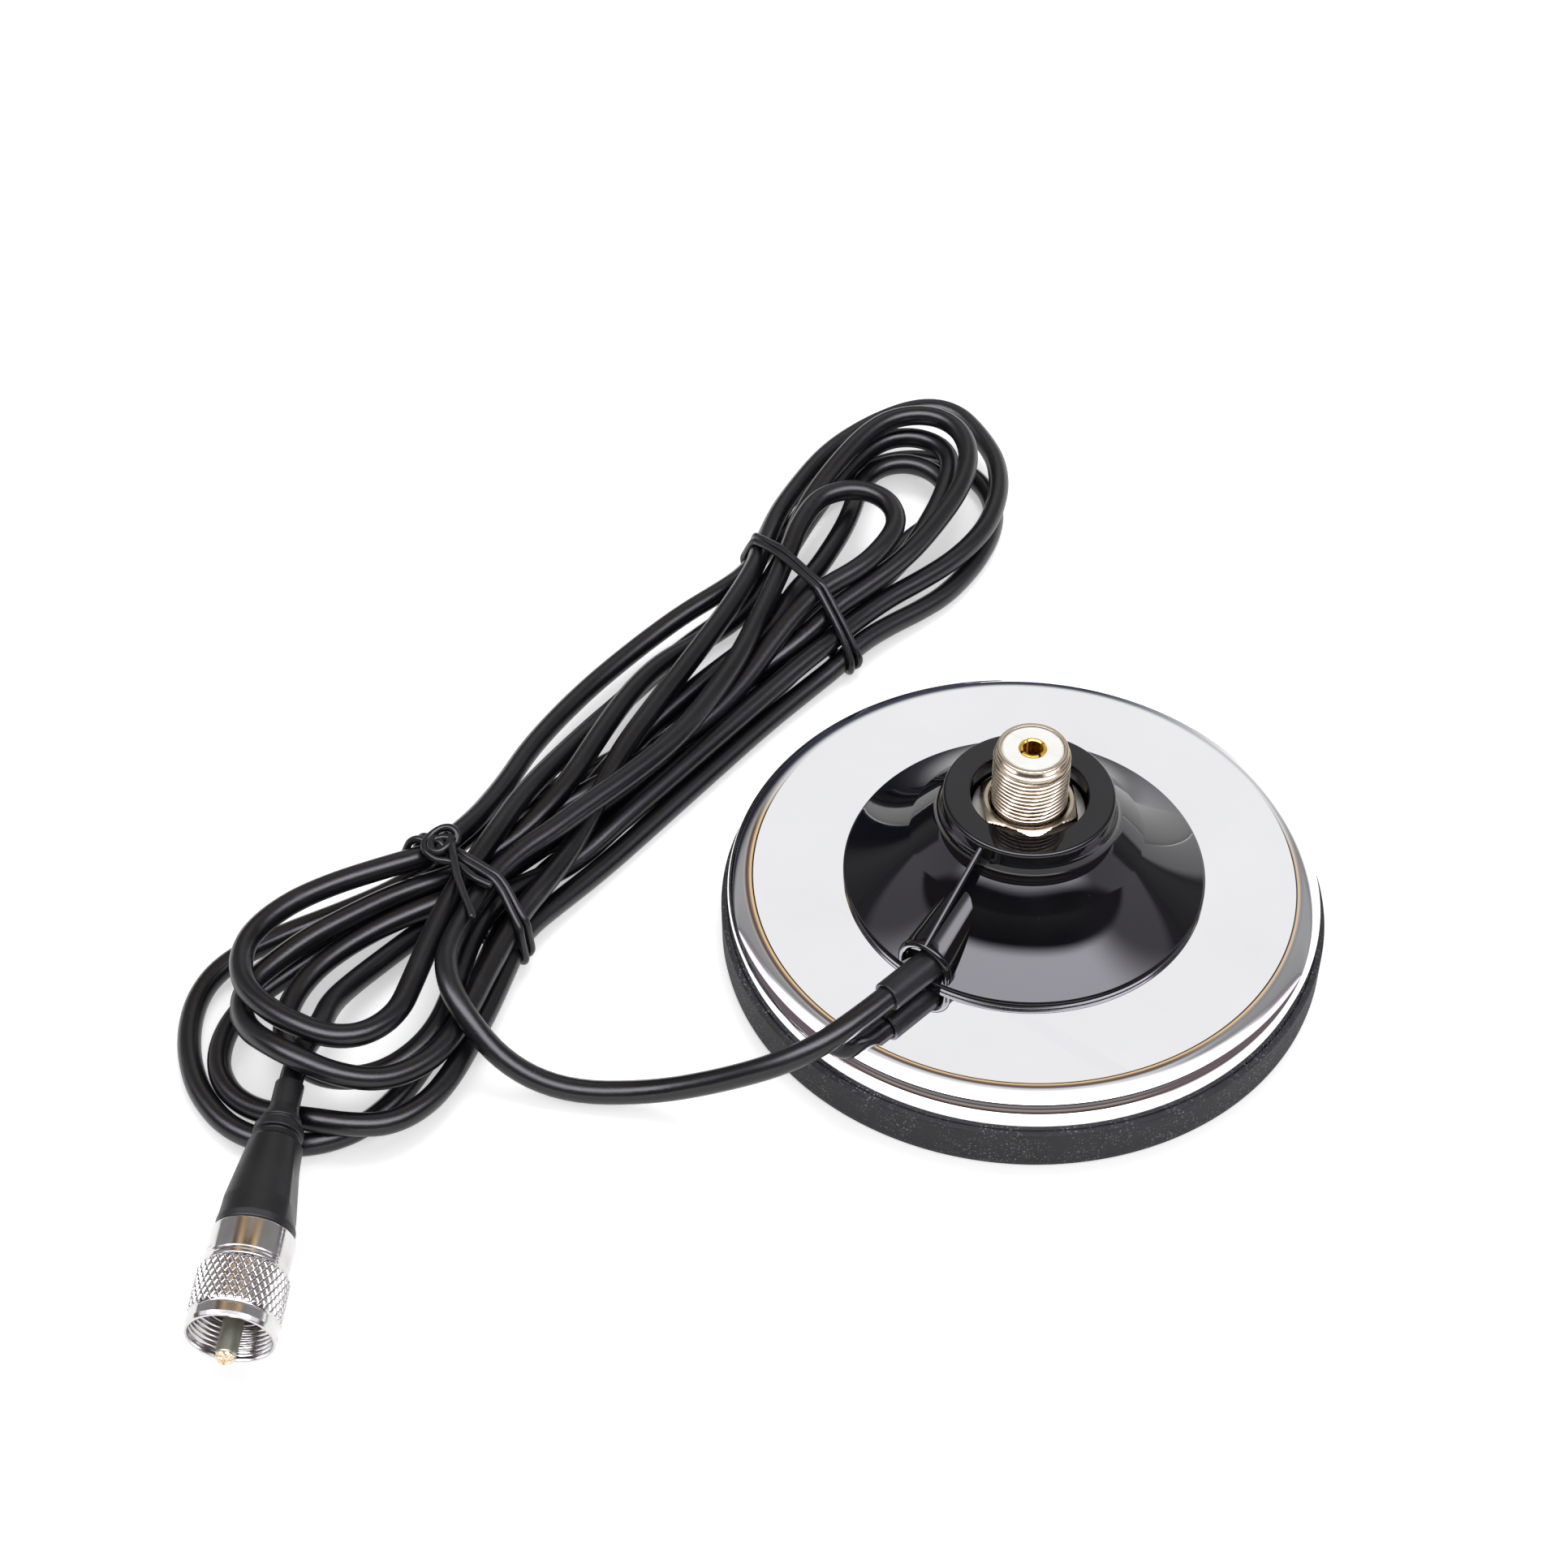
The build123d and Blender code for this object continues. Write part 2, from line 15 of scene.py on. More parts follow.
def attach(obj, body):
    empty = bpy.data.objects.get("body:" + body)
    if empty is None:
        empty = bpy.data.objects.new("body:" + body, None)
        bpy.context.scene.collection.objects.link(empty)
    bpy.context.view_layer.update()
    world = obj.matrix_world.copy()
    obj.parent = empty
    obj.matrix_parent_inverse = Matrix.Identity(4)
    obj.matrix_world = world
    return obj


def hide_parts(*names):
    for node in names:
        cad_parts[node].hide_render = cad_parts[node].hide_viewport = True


bl_info = {
    "name": "Magnetic Antenna Mount",
    "version": (1, 0, 0),
    "blender": (4, 5, 0),
    "location": "View3D > Sidebar > Antenna Mount",
    "description": "Builds a chrome magnetic antenna mount with its coax lead, ties and plug",
    "category": "Object",
}

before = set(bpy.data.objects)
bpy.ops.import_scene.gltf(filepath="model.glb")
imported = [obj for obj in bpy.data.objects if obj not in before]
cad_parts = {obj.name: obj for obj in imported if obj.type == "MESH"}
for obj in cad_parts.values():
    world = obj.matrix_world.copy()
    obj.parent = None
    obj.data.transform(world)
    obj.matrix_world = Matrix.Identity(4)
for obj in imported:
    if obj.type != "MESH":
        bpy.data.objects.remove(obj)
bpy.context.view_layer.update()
MM = 0.001

# Heights and radii of the base, from its underside up
BOOT_FLOOR = 1.6
BOOT_TOP = 9.9
CUP_TOP = 17.8
CUP_SHEET = 1.2
CONE_FOOT = CUP_TOP + 0.02
SHOULDER = (22.2, 32.4)
COLLAR_FOOT = 36.2
COLLAR_TOP = 41.6
RECESS_FLOOR, RECESS_RADIUS = 36.4, 12.2
COLLAR_RADIUS = 17.9
CONE_BORE = 8.35
NUT_FOOT, NUT_HEIGHT = 37.2, 2.8
SOCKET_TOP = 54.6
SOCKET_BORE = 6.38
CONTACT_BORE, CONTACT_RADIUS = 2.02, 2.78
DUCT_MOUTH, DUCT_BACK = 37.3, 17.0
ARCH_FRONT, ARCH_BACK = (6.15, 27.4), (4.3, 34.0)

# Strain sleeve: a point on its axis at the duct mouth, and its direction
SLEEVE_MOUTH = np.array([1.0, -37.0, 22.5])
SLEEVE_WAY = np.array([-math.sin(math.radians(8.0)), -math.cos(math.radians(8.0)), 0.0])

# Plug: middle of the mouth, and the end of its neck
PLUG_MOUTH = np.array([-57.1, -180.7, 9.05])
PLUG_TAIL = np.array([-88.2, -131.8, 12.3])

# The coax, point by point: from the sleeve over the rim to the bundle
LEAD = [
    (-0.69, -48.98, 22.5), (-2.44, -61.46, 22.5), (-8.5, -71.5, 18.5), (-20.5, -78.5, 10.5),
    (-33.5, -85.8, 4.2), (-48.5, -95.0, 2.6), (-61.7, -99.1, 7.0), (-74.5, -97.6, 15.9),
]
# Six turns of the bundle, up and down through both ties, in the order the coax runs
HANK = [
    (-81.4, -92.3, 16.8), (-84.2, -88.1, 16.5), (-86.6, -82.6, 16), (-88.3, -77.2, 15.6),
    (-90, -70.9, 15.3), (-91.1, -65.9, 15.4), (-90.9, -57.2, 15.5), (-89.6, -50, 15.5),
    (-88.8, -41.4, 15.5), (-86.9, -25.2, 15.1), (-86.3, -9.9, 14.7), (-88.6, 6.1, 14.4),
    (-91.9, 21.2, 14.3), (-97, 35.7, 14.5), (-101.7, 49, 14.6), (-104.4, 56.4, 15.4),
    (-107.2, 63.6, 16.3), (-109.4, 74, 16.6), (-106.5, 80.2, 16.8), (-102, 83.4, 16.8),
    (-96.9, 84, 16.8), (-92, 82.2, 16.6), (-88, 77.6, 16.3), (-86.5, 69.9, 16),
    (-86.6, 60.7, 15.5), (-90, 48.8, 15.1), (-90.1, 39.7, 14.3), (-89.5, 30.6, 12.9),
    (-88, 16.6, 10.4), (-88, 2.7, 9.1), (-90, -8.2, 8.9), (-93, -20.2, 8.3), (-96.3, -31.3, 8.1),
    (-99.7, -42.2, 7.2), (-102.7, -54.2, 6.1), (-104, -66.1, 5.5), (-105.6, -74.1, 5),
    (-108.9, -84.1, 4.8), (-112, -96, 5.2), (-114.5, -108, 5.1), (-115.5, -118, 5.1),
    (-113.7, -126.4, 4.7), (-109.1, -133.2, 4.2), (-102.5, -136.7, 4.2), (-95.5, -137.2, 4.6),
    (-88.3, -135.6, 6.2), (-81, -133, 7.6), (-73.7, -129, 7.4), (-68.5, -123.8, 6.6),
    (-66.6, -115.3, 6), (-68, -106.8, 5.5), (-70.8, -98, 5.1), (-74.4, -87.9, 4.9),
    (-78.5, -77.9, 4.8), (-81.1, -71.4, 4.9), (-82.4, -66, 4.8), (-82.4, -56, 3.7),
    (-81.9, -42.6, 2.7), (-81.6, -23.8, 2.6), (-81.3, -5.2, 2.6), (-80.9, 14.9, 2.7),
    (-79.5, 31.6, 3), (-78.3, 40, 3.8), (-78.1, 49, 4.7), (-76.5, 58.9, 4), (-74.1, 68.7, 3.2),
    (-72.7, 77.5, 2.8), (-73.3, 88, 2.6), (-74.5, 95, 2.6), (-76.7, 102.5, 2.6),
    (-80.7, 110, 2.6), (-87, 116, 2.6), (-95.5, 119, 2.6), (-104.5, 118, 2.6), (-112, 113, 2.6),
    (-117, 104, 2.6), (-119.1, 92, 2.6), (-118.5, 80, 3), (-117, 68, 4), (-115, 58, 6),
    (-112.9, 49, 7.4), (-113.4, 41, 8), (-116, 30, 7.5), (-117.8, 19, 6.5), (-118.7, 8, 6),
    (-118.8, -3, 6), (-117.7, -15.5, 6.5), (-115.1, -28, 8), (-111.7, -38, 9.5),
    (-109.3, -46, 11), (-107.1, -54, 12.8), (-106.3, -61, 14), (-106.1, -66, 14.6),
    (-106.7, -70.9, 15.4), (-111, -79, 16), (-116.6, -89, 16), (-120.3, -99, 16),
    (-120.7, -109, 16), (-117.2, -116, 16.5), (-110.7, -121.2, 17.2), (-102.2, -123.3, 18.2),
    (-93.8, -123.2, 18.8), (-86, -121, 18.2), (-81.5, -115.5, 17.2), (-81, -107.1, 16.2),
    (-84.9, -98.2, 15.8), (-89.5, -88.2, 15.4), (-93.2, -79.2, 15.2), (-95.3, -72.6, 15.1),
    (-96.9, -66.1, 15.2), (-98.1, -61, 15.4), (-99.8, -54.3, 15.1), (-103.3, -43.4, 13.3),
    (-106.2, -28.5, 10.5), (-108.2, -13.8, 8.1), (-109.2, -4.6, 6.5), (-110.9, 10, 4.4),
    (-110.9, 24, 3.9), (-109.1, 37, 4.3), (-107.2, 49, 5.2), (-109.1, 58, 5.9), (-111.4, 68, 7.2),
    (-113.2, 78.1, 8.5), (-114.5, 88.1, 9.4), (-115.9, 100.5, 9.8), (-114.3, 109.8, 9.9),
    (-109.4, 114.7, 10), (-103, 115.9, 10.1), (-97.3, 113.6, 10.2), (-93.4, 108.2, 10.3),
    (-89.4, 98.8, 9.9), (-86.6, 87.3, 9.2), (-85.1, 79.3, 8.7), (-84.7, 69, 8.1),
    (-85.4, 57.9, 7.1), (-86.6, 48.9, 6.3), (-85.6, 36.8, 4.1), (-85.7, 21.8, 2.8),
    (-85.9, 1.8, 2.6), (-86.4, -18.3, 2.6), (-89.1, -36.3, 2.6), (-91.3, -48.3, 2.5),
    (-89.7, -58.3, 3.3), (-87.9, -66.2, 4.5), (-85.5, -73.2, 3.8), (-82.3, -82.1, 2.9),
    (-79, -96.1, 2.6), (-75.9, -108, 2.6), (-74.2, -118, 2.6), (-75.3, -127, 2.6),
    (-79.5, -134.5, 2.6), (-85.5, -139.5, 2.6), (-93.5, -142, 2.6), (-100.7, -141.9, 2.6),
    (-110.4, -138.6, 2.6), (-120.2, -131.2, 2.6), (-126.9, -121.5, 3), (-128.2, -111.4, 3.5),
    (-123.6, -100, 4.4), (-116.7, -88, 5.6), (-111.3, -78, 7), (-109, -71, 8),
    (-108.3, -66.1, 8.6), (-109.1, -58.1, 7.7), (-108.9, -46.2, 5.4), (-106.3, -33.3, 3.5),
    (-102.2, -18.4, 2.6), (-97.8, -3.5, 3), (-94.2, 11.5, 5.1), (-89, 26.8, 7.7), (-86.4, 38, 10),
    (-85.8, 49, 11.5), (-84, 58.4, 12), (-82.3, 69.2, 12.6), (-82, 78.1, 13.1), (-83.2, 90, 13.7),
    (-84.7, 99, 14.4), (-87.5, 107, 15), (-91.5, 113.4, 15.6), (-97.1, 117.6, 16),
    (-103.7, 118.8, 16.1), (-109.7, 116, 16.1), (-113.9, 110, 16.2), (-115.3, 101.5, 15.9),
    (-114.8, 90, 14.9), (-113.2, 76.9, 13.3), (-110.2, 66, 11.6), (-106.2, 56, 10.4),
    (-104.2, 49, 10.2), (-104, 37, 8.5), (-104.9, 27.8, 8.6), (-106.1, 18.1, 10),
    (-106.8, 8.7, 11.5), (-105.7, -2.4, 12.4), (-102.7, -16.1, 12.7), (-99, -30.1, 12.7),
    (-97.2, -41.7, 11.9), (-97.6, -51, 10.6), (-99.2, -58.9, 10.2), (-100.7, -65.9, 10.2),
    (-101.7, -69.7, 10.7), (-106.8, -80.4, 11.6), (-110, -91.3, 12.1), (-112.8, -100.9, 12),
    (-114.2, -110, 11.4), (-114.4, -117.5, 11.3), (-110.7, -123.4, 11.9), (-104, -127.5, 14.1),
    (-96, -129.1, 17), (-89, -128.7, 17.4), (-81.5, -125.8, 14.6), (-74.8, -120, 11.7),
    (-71.8, -112.1, 10.2), (-71.7, -103.7, 9.6), (-74.4, -94.2, 9.4), (-77.8, -84.8, 9.6),
    (-80.1, -77.4, 9.9), (-81.8, -71.5, 10.1), (-83, -65.9, 10.4), (-83.6, -59.9, 10.7),
    (-85.4, -49.5, 10.6), (-87.8, -41.9, 10.4), (-89.9, -34.9, 10.7), (-92.2, -27, 12.5),
    (-94.9, -18, 13.4), (-98.2, 0, 13.6), (-100.8, 15, 13.7), (-103.2, 28, 13.8),
    (-106.1, 40, 13.5), (-108.9, 49, 13.2), (-111.7, 54, 12.2), (-114.7, 60.5, 10.5),
    (-119.2, 71.1, 9.1), (-121.8, 82, 8.5), (-123.4, 92, 8.5), (-123.8, 100, 8.5),
    (-122.9, 108, 8.6), (-120.7, 116.5, 8.8), (-117, 124.5, 9), (-112, 129.2, 9),
    (-106, 130.3, 8.8), (-100, 128.3, 8.4), (-93.5, 125, 8), (-87.5, 120.6, 8), (-81.5, 113, 7.8),
    (-77.5, 104, 7.6), (-75.5, 95.5, 7.5), (-75.4, 83.8, 7.5), (-77.6, 72.5, 7.6),
    (-80.1, 62.6, 7.8), (-81.7, 49, 7.9), (-81.6, 40, 8.7), (-82.4, 32, 8.5), (-83.1, 22, 7.9),
    (-83.8, 4.9, 7.6), (-84.4, -14.9, 7.5), (-85.1, -32.2, 7), (-85.8, -42, 5.6), (-87, -50, 5.5),
    (-88.1, -58, 8.1), (-89.1, -66, 10.1), (-88.6, -71.5, 10.1), (-87.3, -78, 9.7),
    (-84.2, -85, 9.1), (-80.4, -92, 8.6), (-77.4, -100, 7.8), (-76.8, -108, 7.3),
    (-79, -116, 6.8), (-84.7, -122, 6.6), (-92, -124.2, 6.5), (-99.5, -122.5, 6.8),
    (-104.8, -117.5, 7.2), (-108, -110, 7.5), (-108.7, -101, 7.9), (-106, -89, 8.4),
    (-101, -78, 9), (-96.7, -71.5, 9.7), (-94.3, -66, 9.7), (-93.8, -57.9, 9.2),
    (-93.5, -47.9, 7.6), (-92.3, -32.8, 4.8), (-91.5, -17.7, 3.2), (-91.3, 2.3, 2.6),
    (-90.4, 22.4, 2.4), (-90.8, 37.3, 4.4), (-91.7, 49.2, 6.7), (-90.7, 58.1, 6.5),
    (-89.8, 67.1, 6.2), (-89.2, 77, 6), (-90, 86, 5.4), (-89.1, 95.4, 4.8), (-90.7, 104.7, 5.3),
    (-95.7, 109.6, 5.5), (-102.2, 110.6, 6.1), (-108, 108.1, 6.5), (-111.6, 102.7, 6.5),
    (-111.6, 95, 6.3), (-105.9, 85, 9.8), (-102.7, 77, 10), (-100.4, 68.8, 10.1),
    (-97.9, 57.9, 10.3), (-97.2, 49.1, 10.6), (-95.8, 42.2, 9.8), (-94.7, 35.3, 9.6),
    (-95.1, 26.5, 9.5), (-96.7, 12.7, 9), (-98, -2.3, 8.1), (-98.5, -17.4, 6.1),
    (-98, -32.4, 3.4), (-97.9, -47.6, 2.4), (-98, -57.7, 2.9), (-98.1, -65.8, 3.5),
    (-99.1, -71.9, 4), (-100.1, -79.9, 4.3), (-100.8, -90, 4.7), (-100.9, -100, 5.8),
    (-99.3, -109, 8.3),
]
# From under the bundle into the plug's neck
TAIL = [(-94.8, -116.5, 11.0), (-91.68, -126.32, 12.66), (-88.2, -131.8, 12.3)]


# ---------------------------------------------------------------- sizes and colours

def length(name, description, default, low, high):
    """A length in metres, held between two limits."""
    return FloatProperty(
        name=name, description=description, default=default, min=low, max=high, unit="LENGTH")


def tint(name, description, default):
    """A colour of a finish."""
    return FloatVectorProperty(
        name=name, description=description, subtype="COLOR", size=3, default=default, min=0.0,
        max=1.0)


class MountBaseSizes(PropertyGroup):
    """Sizes of the base that carries the socket."""
    cup_radius: length("Cup radius", "Radius of the chrome cup", 0.0628, 0.045, 0.09)
    boot_wall: length(
        "Boot wall", "Thickness of the rubber boot around the cup", 0.0014, 0.001, 0.004)
    rim_reach: length(
        "Rim reach", "How far in from its wall the cup's top starts to curve down", 0.006, 0.002,
        0.01)
    rim_drop: length(
        "Rim drop", "Height over which the cup's top curves down to its wall", 0.0042, 0.0015,
        0.005)
    cone_radius: length("Cone radius", "Radius of the foot of the cone cover", 0.0382, 0.03, 0.045)
    cone_hollow: length(
        "Cone hollow", "How far the cone's side sags below a straight line", 0.0006, 0.0, 0.0015)
    segments: IntProperty(
        name="Segments", description="Faces around each turned piece", default=192, min=48, max=360)


class SocketSizes(PropertyGroup):
    """Sizes of the threaded socket, its nut and its contact."""
    thread_radius: length(
        "Thread radius", "Outer radius of the socket's thread", 0.00794, 0.006, 0.009)
    thread_pitch: length(
        "Thread pitch", "Distance from one crest to the next", 0.001058, 0.0006, 0.002)
    thread_depth: length(
        "Thread depth", "Height of the thread from root to crest", 0.00067, 0.0001, 0.0007)
    nut_corner: length(
        "Nut corner radius", "Distance from the middle of the nut to a corner", 0.011, 0.0095,
        0.0119)
    nut_turn: FloatProperty(
        name="Nut turn", description="How far the nut is turned about the socket",
        default=math.radians(10.5), subtype="ANGLE", unit="ROTATION")


class CoaxSizes(PropertyGroup):
    """Sizes of the coax and of the wire ties around its bundle."""
    coax_radius: length("Coax radius", "Outer radius of the coax jacket", 0.002475, 0.0015, 0.004)
    tie_radius: length("Tie radius", "Radius of the covered wire of a tie", 0.00085, 0.0004, 0.0015)
    tie_gap: length("Tie gap", "Distance between the two turns of a tie", 0.0021, 0.0012, 0.004)


class PlugSizes(PropertyGroup):
    """Sizes of the coax plug."""
    ring_radius: length("Ring radius", "Outer radius of the coupling ring", 0.009, 0.0085, 0.009)
    knurl_depth: length(
        "Knurl depth", "Depth of the diamond knurl on the ring", 0.00042, 0.0, 0.0006)
    knurl_count: IntProperty(
        name="Knurl count", description="Number of knurl lines each way around the ring",
        default=36, min=12, max=60)
    pin_radius: length("Pin radius", "Radius of the plug's centre pin", 0.002, 0.001, 0.003)


class FinishColours(PropertyGroup):
    """Colours of the finishes."""
    chrome: tint("Chrome", "Chrome plate of the cup", (0.90, 0.90, 0.91))
    cone: tint("Cone plastic", "Glossy black plastic of the cone", (0.004, 0.004, 0.005))
    rubber: tint("Boot rubber", "Charcoal rubber of the boot", (0.0145, 0.0142, 0.0155))
    dust: tint("Dust", "Pale dust in the rubber", (0.62, 0.62, 0.60))
    nickel: tint("Socket nickel", "Warm nickel plate of the socket", (0.50, 0.435, 0.34))
    plug_nickel: tint("Plug nickel", "Nickel plate of the plug", (0.66, 0.65, 0.645))
    gold: tint("Gold", "Gold plate of the socket contact", (0.95, 0.66, 0.12))
    insulator: tint("Insulator", "White insulator of the socket", (0.86, 0.86, 0.84))
    jacket: tint("Jacket", "Black jacket of the coax", (0.003, 0.003, 0.0042))
    sleeve: tint("Sleeve", "Matte black of the strain sleeve and plug boot", (0.009, 0.009, 0.010))


# ---------------------------------------------------------------- surfaces

def around(count):
    """The angles of even steps round a circle."""
    return np.linspace(0, 2 * math.pi, count, endpoint=False)


def grid_faces(rows, columns, wrap_rows):
    """Quads of a rows by columns grid of vertices whose columns close up, row after row."""
    r, c = np.meshgrid(
        np.arange(rows if wrap_rows else rows - 1), np.arange(columns), indexing="ij")
    r2, c2 = (r + 1) % rows, (c + 1) % columns
    return np.stack(
        [r * columns + c, r * columns + c2, r2 * columns + c2, r2 * columns + c], -1).reshape(-1, 4)


def fan_faces(row_start, columns, pole, flip):
    """Triangles from one ring of vertices to a single vertex at its middle."""
    c = np.arange(columns)
    a, b = row_start + c, row_start + (c + 1) % columns
    pole = np.full(columns, pole)
    return np.stack([b, a, pole] if flip else [a, b, pole], -1)


def shell(points, wrap_rows=False):
    """A closed surface from a grid of points (rows, columns, 3).

    Rows run along the piece and columns around it. Where the rows don't close up, each end gets
    one vertex at the mean of its ring. Faces are turned outwards by the sign of the enclosed
    volume, which is the sum over triangles of a . (b x c) / 6.
    """
    rows, columns = points.shape[:2]
    verts = points.reshape(-1, 3)
    quads = grid_faces(rows, columns, wrap_rows)
    triangles = np.zeros((0, 3), int)
    if not wrap_rows:
        first, last = len(verts), len(verts) + 1
        triangles = np.vstack([fan_faces(0, columns, first, True),
                               fan_faces((rows - 1) * columns, columns, last, False)])
        verts = np.vstack([verts, points[0].mean(0), points[-1].mean(0)])
    halves = np.vstack([quads[:, [0, 1, 2]], quads[:, [0, 2, 3]], triangles])
    a, b, c = (verts[halves[:, k]] - verts.mean(0) for k in range(3))
    if np.einsum("ij,ij->i", a, np.cross(b, c)).sum() < 0:
        quads, triangles = quads[:, ::-1], triangles[:, ::-1]
    return verts, quads, triangles


def piece(name, shells, look, node=None, body="base", crease=35.0):
    """One mesh object from closed surfaces in millimetres, smooth up to the crease angle, with
    the look of a finish. It rides on a body and stands for the CAD's node of that name."""
    verts, sizes, corners, start = [], [], [], 0
    for points, quads, triangles in shells:
        verts.append(points)
        sizes += [np.full(len(quads), 4), np.full(len(triangles), 3)]
        corners += [(quads + start).ravel(), (triangles + start).ravel()]
        start += len(points)
    verts, sizes, corners = np.vstack(verts), np.concatenate(sizes), np.concatenate(corners)
    mesh = bpy.data.meshes.new(name)
    mesh.vertices.add(len(verts))
    mesh.vertices.foreach_set("co", (verts * MM).astype(np.float32).ravel())
    mesh.loops.add(len(corners))
    mesh.loops.foreach_set("vertex_index", corners.astype(np.int32))
    mesh.polygons.add(len(sizes))
    starts = np.concatenate([[0], np.cumsum(sizes)[:-1]])
    mesh.polygons.foreach_set("loop_start", starts.astype(np.int32))
    mesh.update(calc_edges=True)
    mesh.validate()
    mesh.shade_smooth()
    mesh.set_sharp_from_angle(angle=math.radians(crease))
    mesh.materials.append(finish(look))
    made = bpy.data.objects.new(name, mesh)
    bpy.context.scene.collection.objects.link(made)
    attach(made, body)
    if node:
        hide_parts(node)


def rounded(corners, closed=False, steps=6, guard=0.06):
    """A profile of (radius, height, round) corners as points.

    Each corner is replaced by the circular arc that touches both sides, so its tangent points
    lie round / tan(half the corner's angle) from the corner. A guard point close to each arc
    keeps flat faces flat in their shading.
    """
    p = np.array([c[:2] for c in corners], float)
    n = len(p)
    out = []
    for k, corner in enumerate(corners):
        size = corner[2] if len(corner) > 2 else 0.0
        if not closed and k in (0, n - 1):
            out.append(p[k][None])
            continue
        here, back, on = p[k], p[k - 1] - p[k], p[(k + 1) % n] - p[k]
        lb, lo = np.linalg.norm(back), np.linalg.norm(on)
        back, on = back / lb, on / lo
        half = 0.5 * math.acos(np.clip(back @ on, -1, 1))
        if size <= 0 or half > 1.56:
            step = min(guard, 0.3 * lb, 0.3 * lo)
            out.append(np.stack([here + back * step, here, here + on * step]))
            continue
        reach = min(size / math.tan(half), 0.45 * lb, 0.45 * lo)
        radius = reach * math.tan(half)
        middle = here + (back + on) / np.linalg.norm(back + on) * radius / math.sin(half)
        a, b = here + back * reach - middle, here + on * reach - middle
        sweep = math.pi - 2 * half
        t = np.linspace(0, 1, steps + 1)[:, None]
        arc = middle + (np.sin((1 - t) * sweep) * a + np.sin(t * sweep) * b) / math.sin(sweep)
        out.append(np.vstack([
            arc[0] + back * min(guard, 0.2 * lb), arc, arc[-1] + on * min(guard, 0.2 * lo)]))
    return np.vstack(out)


def turned(profile, segments, closed=True):
    """A surface of revolution about Z: (r cos a, r sin a, z) for each profile point (r, z)."""
    return shell(spread(*rows_of(profile, around(segments)[None])), wrap_rows=closed)


def frame_of(way):
    """Two unit vectors square to a direction, the second as upright as it can be."""
    way = way / np.linalg.norm(way)
    side = np.cross(way, [0.0, 0.0, 1.0])
    side /= np.linalg.norm(side)
    return side, np.cross(side, way)


def along(origin, way, grid_r, grid_t, a):
    """Points at distance t along an axis, r out from it and a around it."""
    way = way / np.linalg.norm(way)
    side, up = frame_of(way)
    return (origin + grid_t[..., None] * way
            + (grid_r * np.cos(a))[..., None] * side + (grid_r * np.sin(a))[..., None] * up)


def turned_on(origin, way, profile, segments, closed=True):
    """A surface of revolution about any axis, from (radius, distance along the axis) points."""
    rows = rows_of(profile, around(segments)[None])
    return shell(along(origin, way, *rows), wrap_rows=closed)


def tube(path, radius, sides=14, closed=False):
    """A round wire along a path of points.

    The ring at each point stands square to the path, in the frame that turns least from the
    ring before it. An open wire shrinks to a rounded tip at both ends.
    """
    path = np.asarray(path, float)
    way = np.roll(path, -1, 0) - np.roll(path, 1, 0)
    if not closed:
        way[0], way[-1] = path[1] - path[0], path[-1] - path[-2]
    way /= np.linalg.norm(way, axis=1)[:, None]
    start = np.cross(way[0], [0.31, 0.22, 0.92])
    side = [start / np.linalg.norm(start)]
    for w in way[1:]:
        s = side[-1] - w * (side[-1] @ w)
        side.append(s / np.linalg.norm(s))
    side = np.array(side)
    up = np.cross(way, side)
    reach = np.full(len(path), float(radius))
    if closed:
        twist = math.atan2(side[-1] @ up[0], side[-1] @ side[0])
        turn = -twist * np.linspace(0, 1, len(path), endpoint=False)[:, None]
        side, up = side * np.cos(turn) + up * np.sin(turn), up * np.cos(turn) - side * np.sin(turn)
    else:
        path = np.vstack([
            path[:1] - way[:1] * radius * 0.8, path[:1] - way[:1] * radius * 0.5, path,
            path[-1:] + way[-1:] * radius * 0.5, path[-1:] + way[-1:] * radius * 0.8])
        side, up = (np.vstack([v[:1], v[:1], v, v[-1:], v[-1:]]) for v in (side, up))
        tip = np.array([0.35 * radius, 0.85 * radius])
        reach = np.concatenate([tip, reach, tip[::-1]])
    a = around(sides)
    ring = np.cos(a)[None, :, None] * side[:, None] + np.sin(a)[None, :, None] * up[:, None]
    return shell(path[:, None] + reach[:, None, None] * ring, wrap_rows=closed)


def smooth_path(points, count, closed=False):
    """A path through points: Catmull-Rom, each span the cubic whose ends lean along the
    line between the neighbours, read at even steps."""
    p = np.asarray(points, float)
    n = len(p)
    spans = n if closed else n - 1
    t = np.linspace(0, spans, count, endpoint=not closed)
    k = np.minimum(t.astype(int), spans - 1)
    f = (t - k)[:, None]

    def at(i):
        return p[i % n] if closed else p[np.clip(i, 0, n - 1)]

    a, b, c, d = at(k - 1), at(k), at(k + 1), at(k + 2)
    return 0.5 * (2 * b + (c - a) * f + (2 * a - 5 * b + 4 * c - d) * f ** 2
                  + (3 * b - a - 3 * c + d) * f ** 3)


# ---------------------------------------------------------------- nodes

def feed(tree, socket, given):
    """Fills an input with a value, or links it where an output is given."""
    if isinstance(given, bpy.types.NodeSocket):
        tree.links.new(given, socket)
    else:
        socket.default_value = given


def node_of(tree, kind, **given):
    """A shader node with some of its inputs filled or linked by name."""
    node = tree.nodes.new("ShaderNode" + kind)
    for name, value in given.items():
        feed(tree, node.inputs[name], value)
    return node


def calc(tree, operation, *given, clamp=False):
    """The result of a math node on values and outputs."""
    node = tree.nodes.new("ShaderNodeMath")
    node.operation, node.use_clamp = operation, clamp
    for socket, value in zip(node.inputs, given):
        feed(tree, socket, value)
    return node.outputs[0]


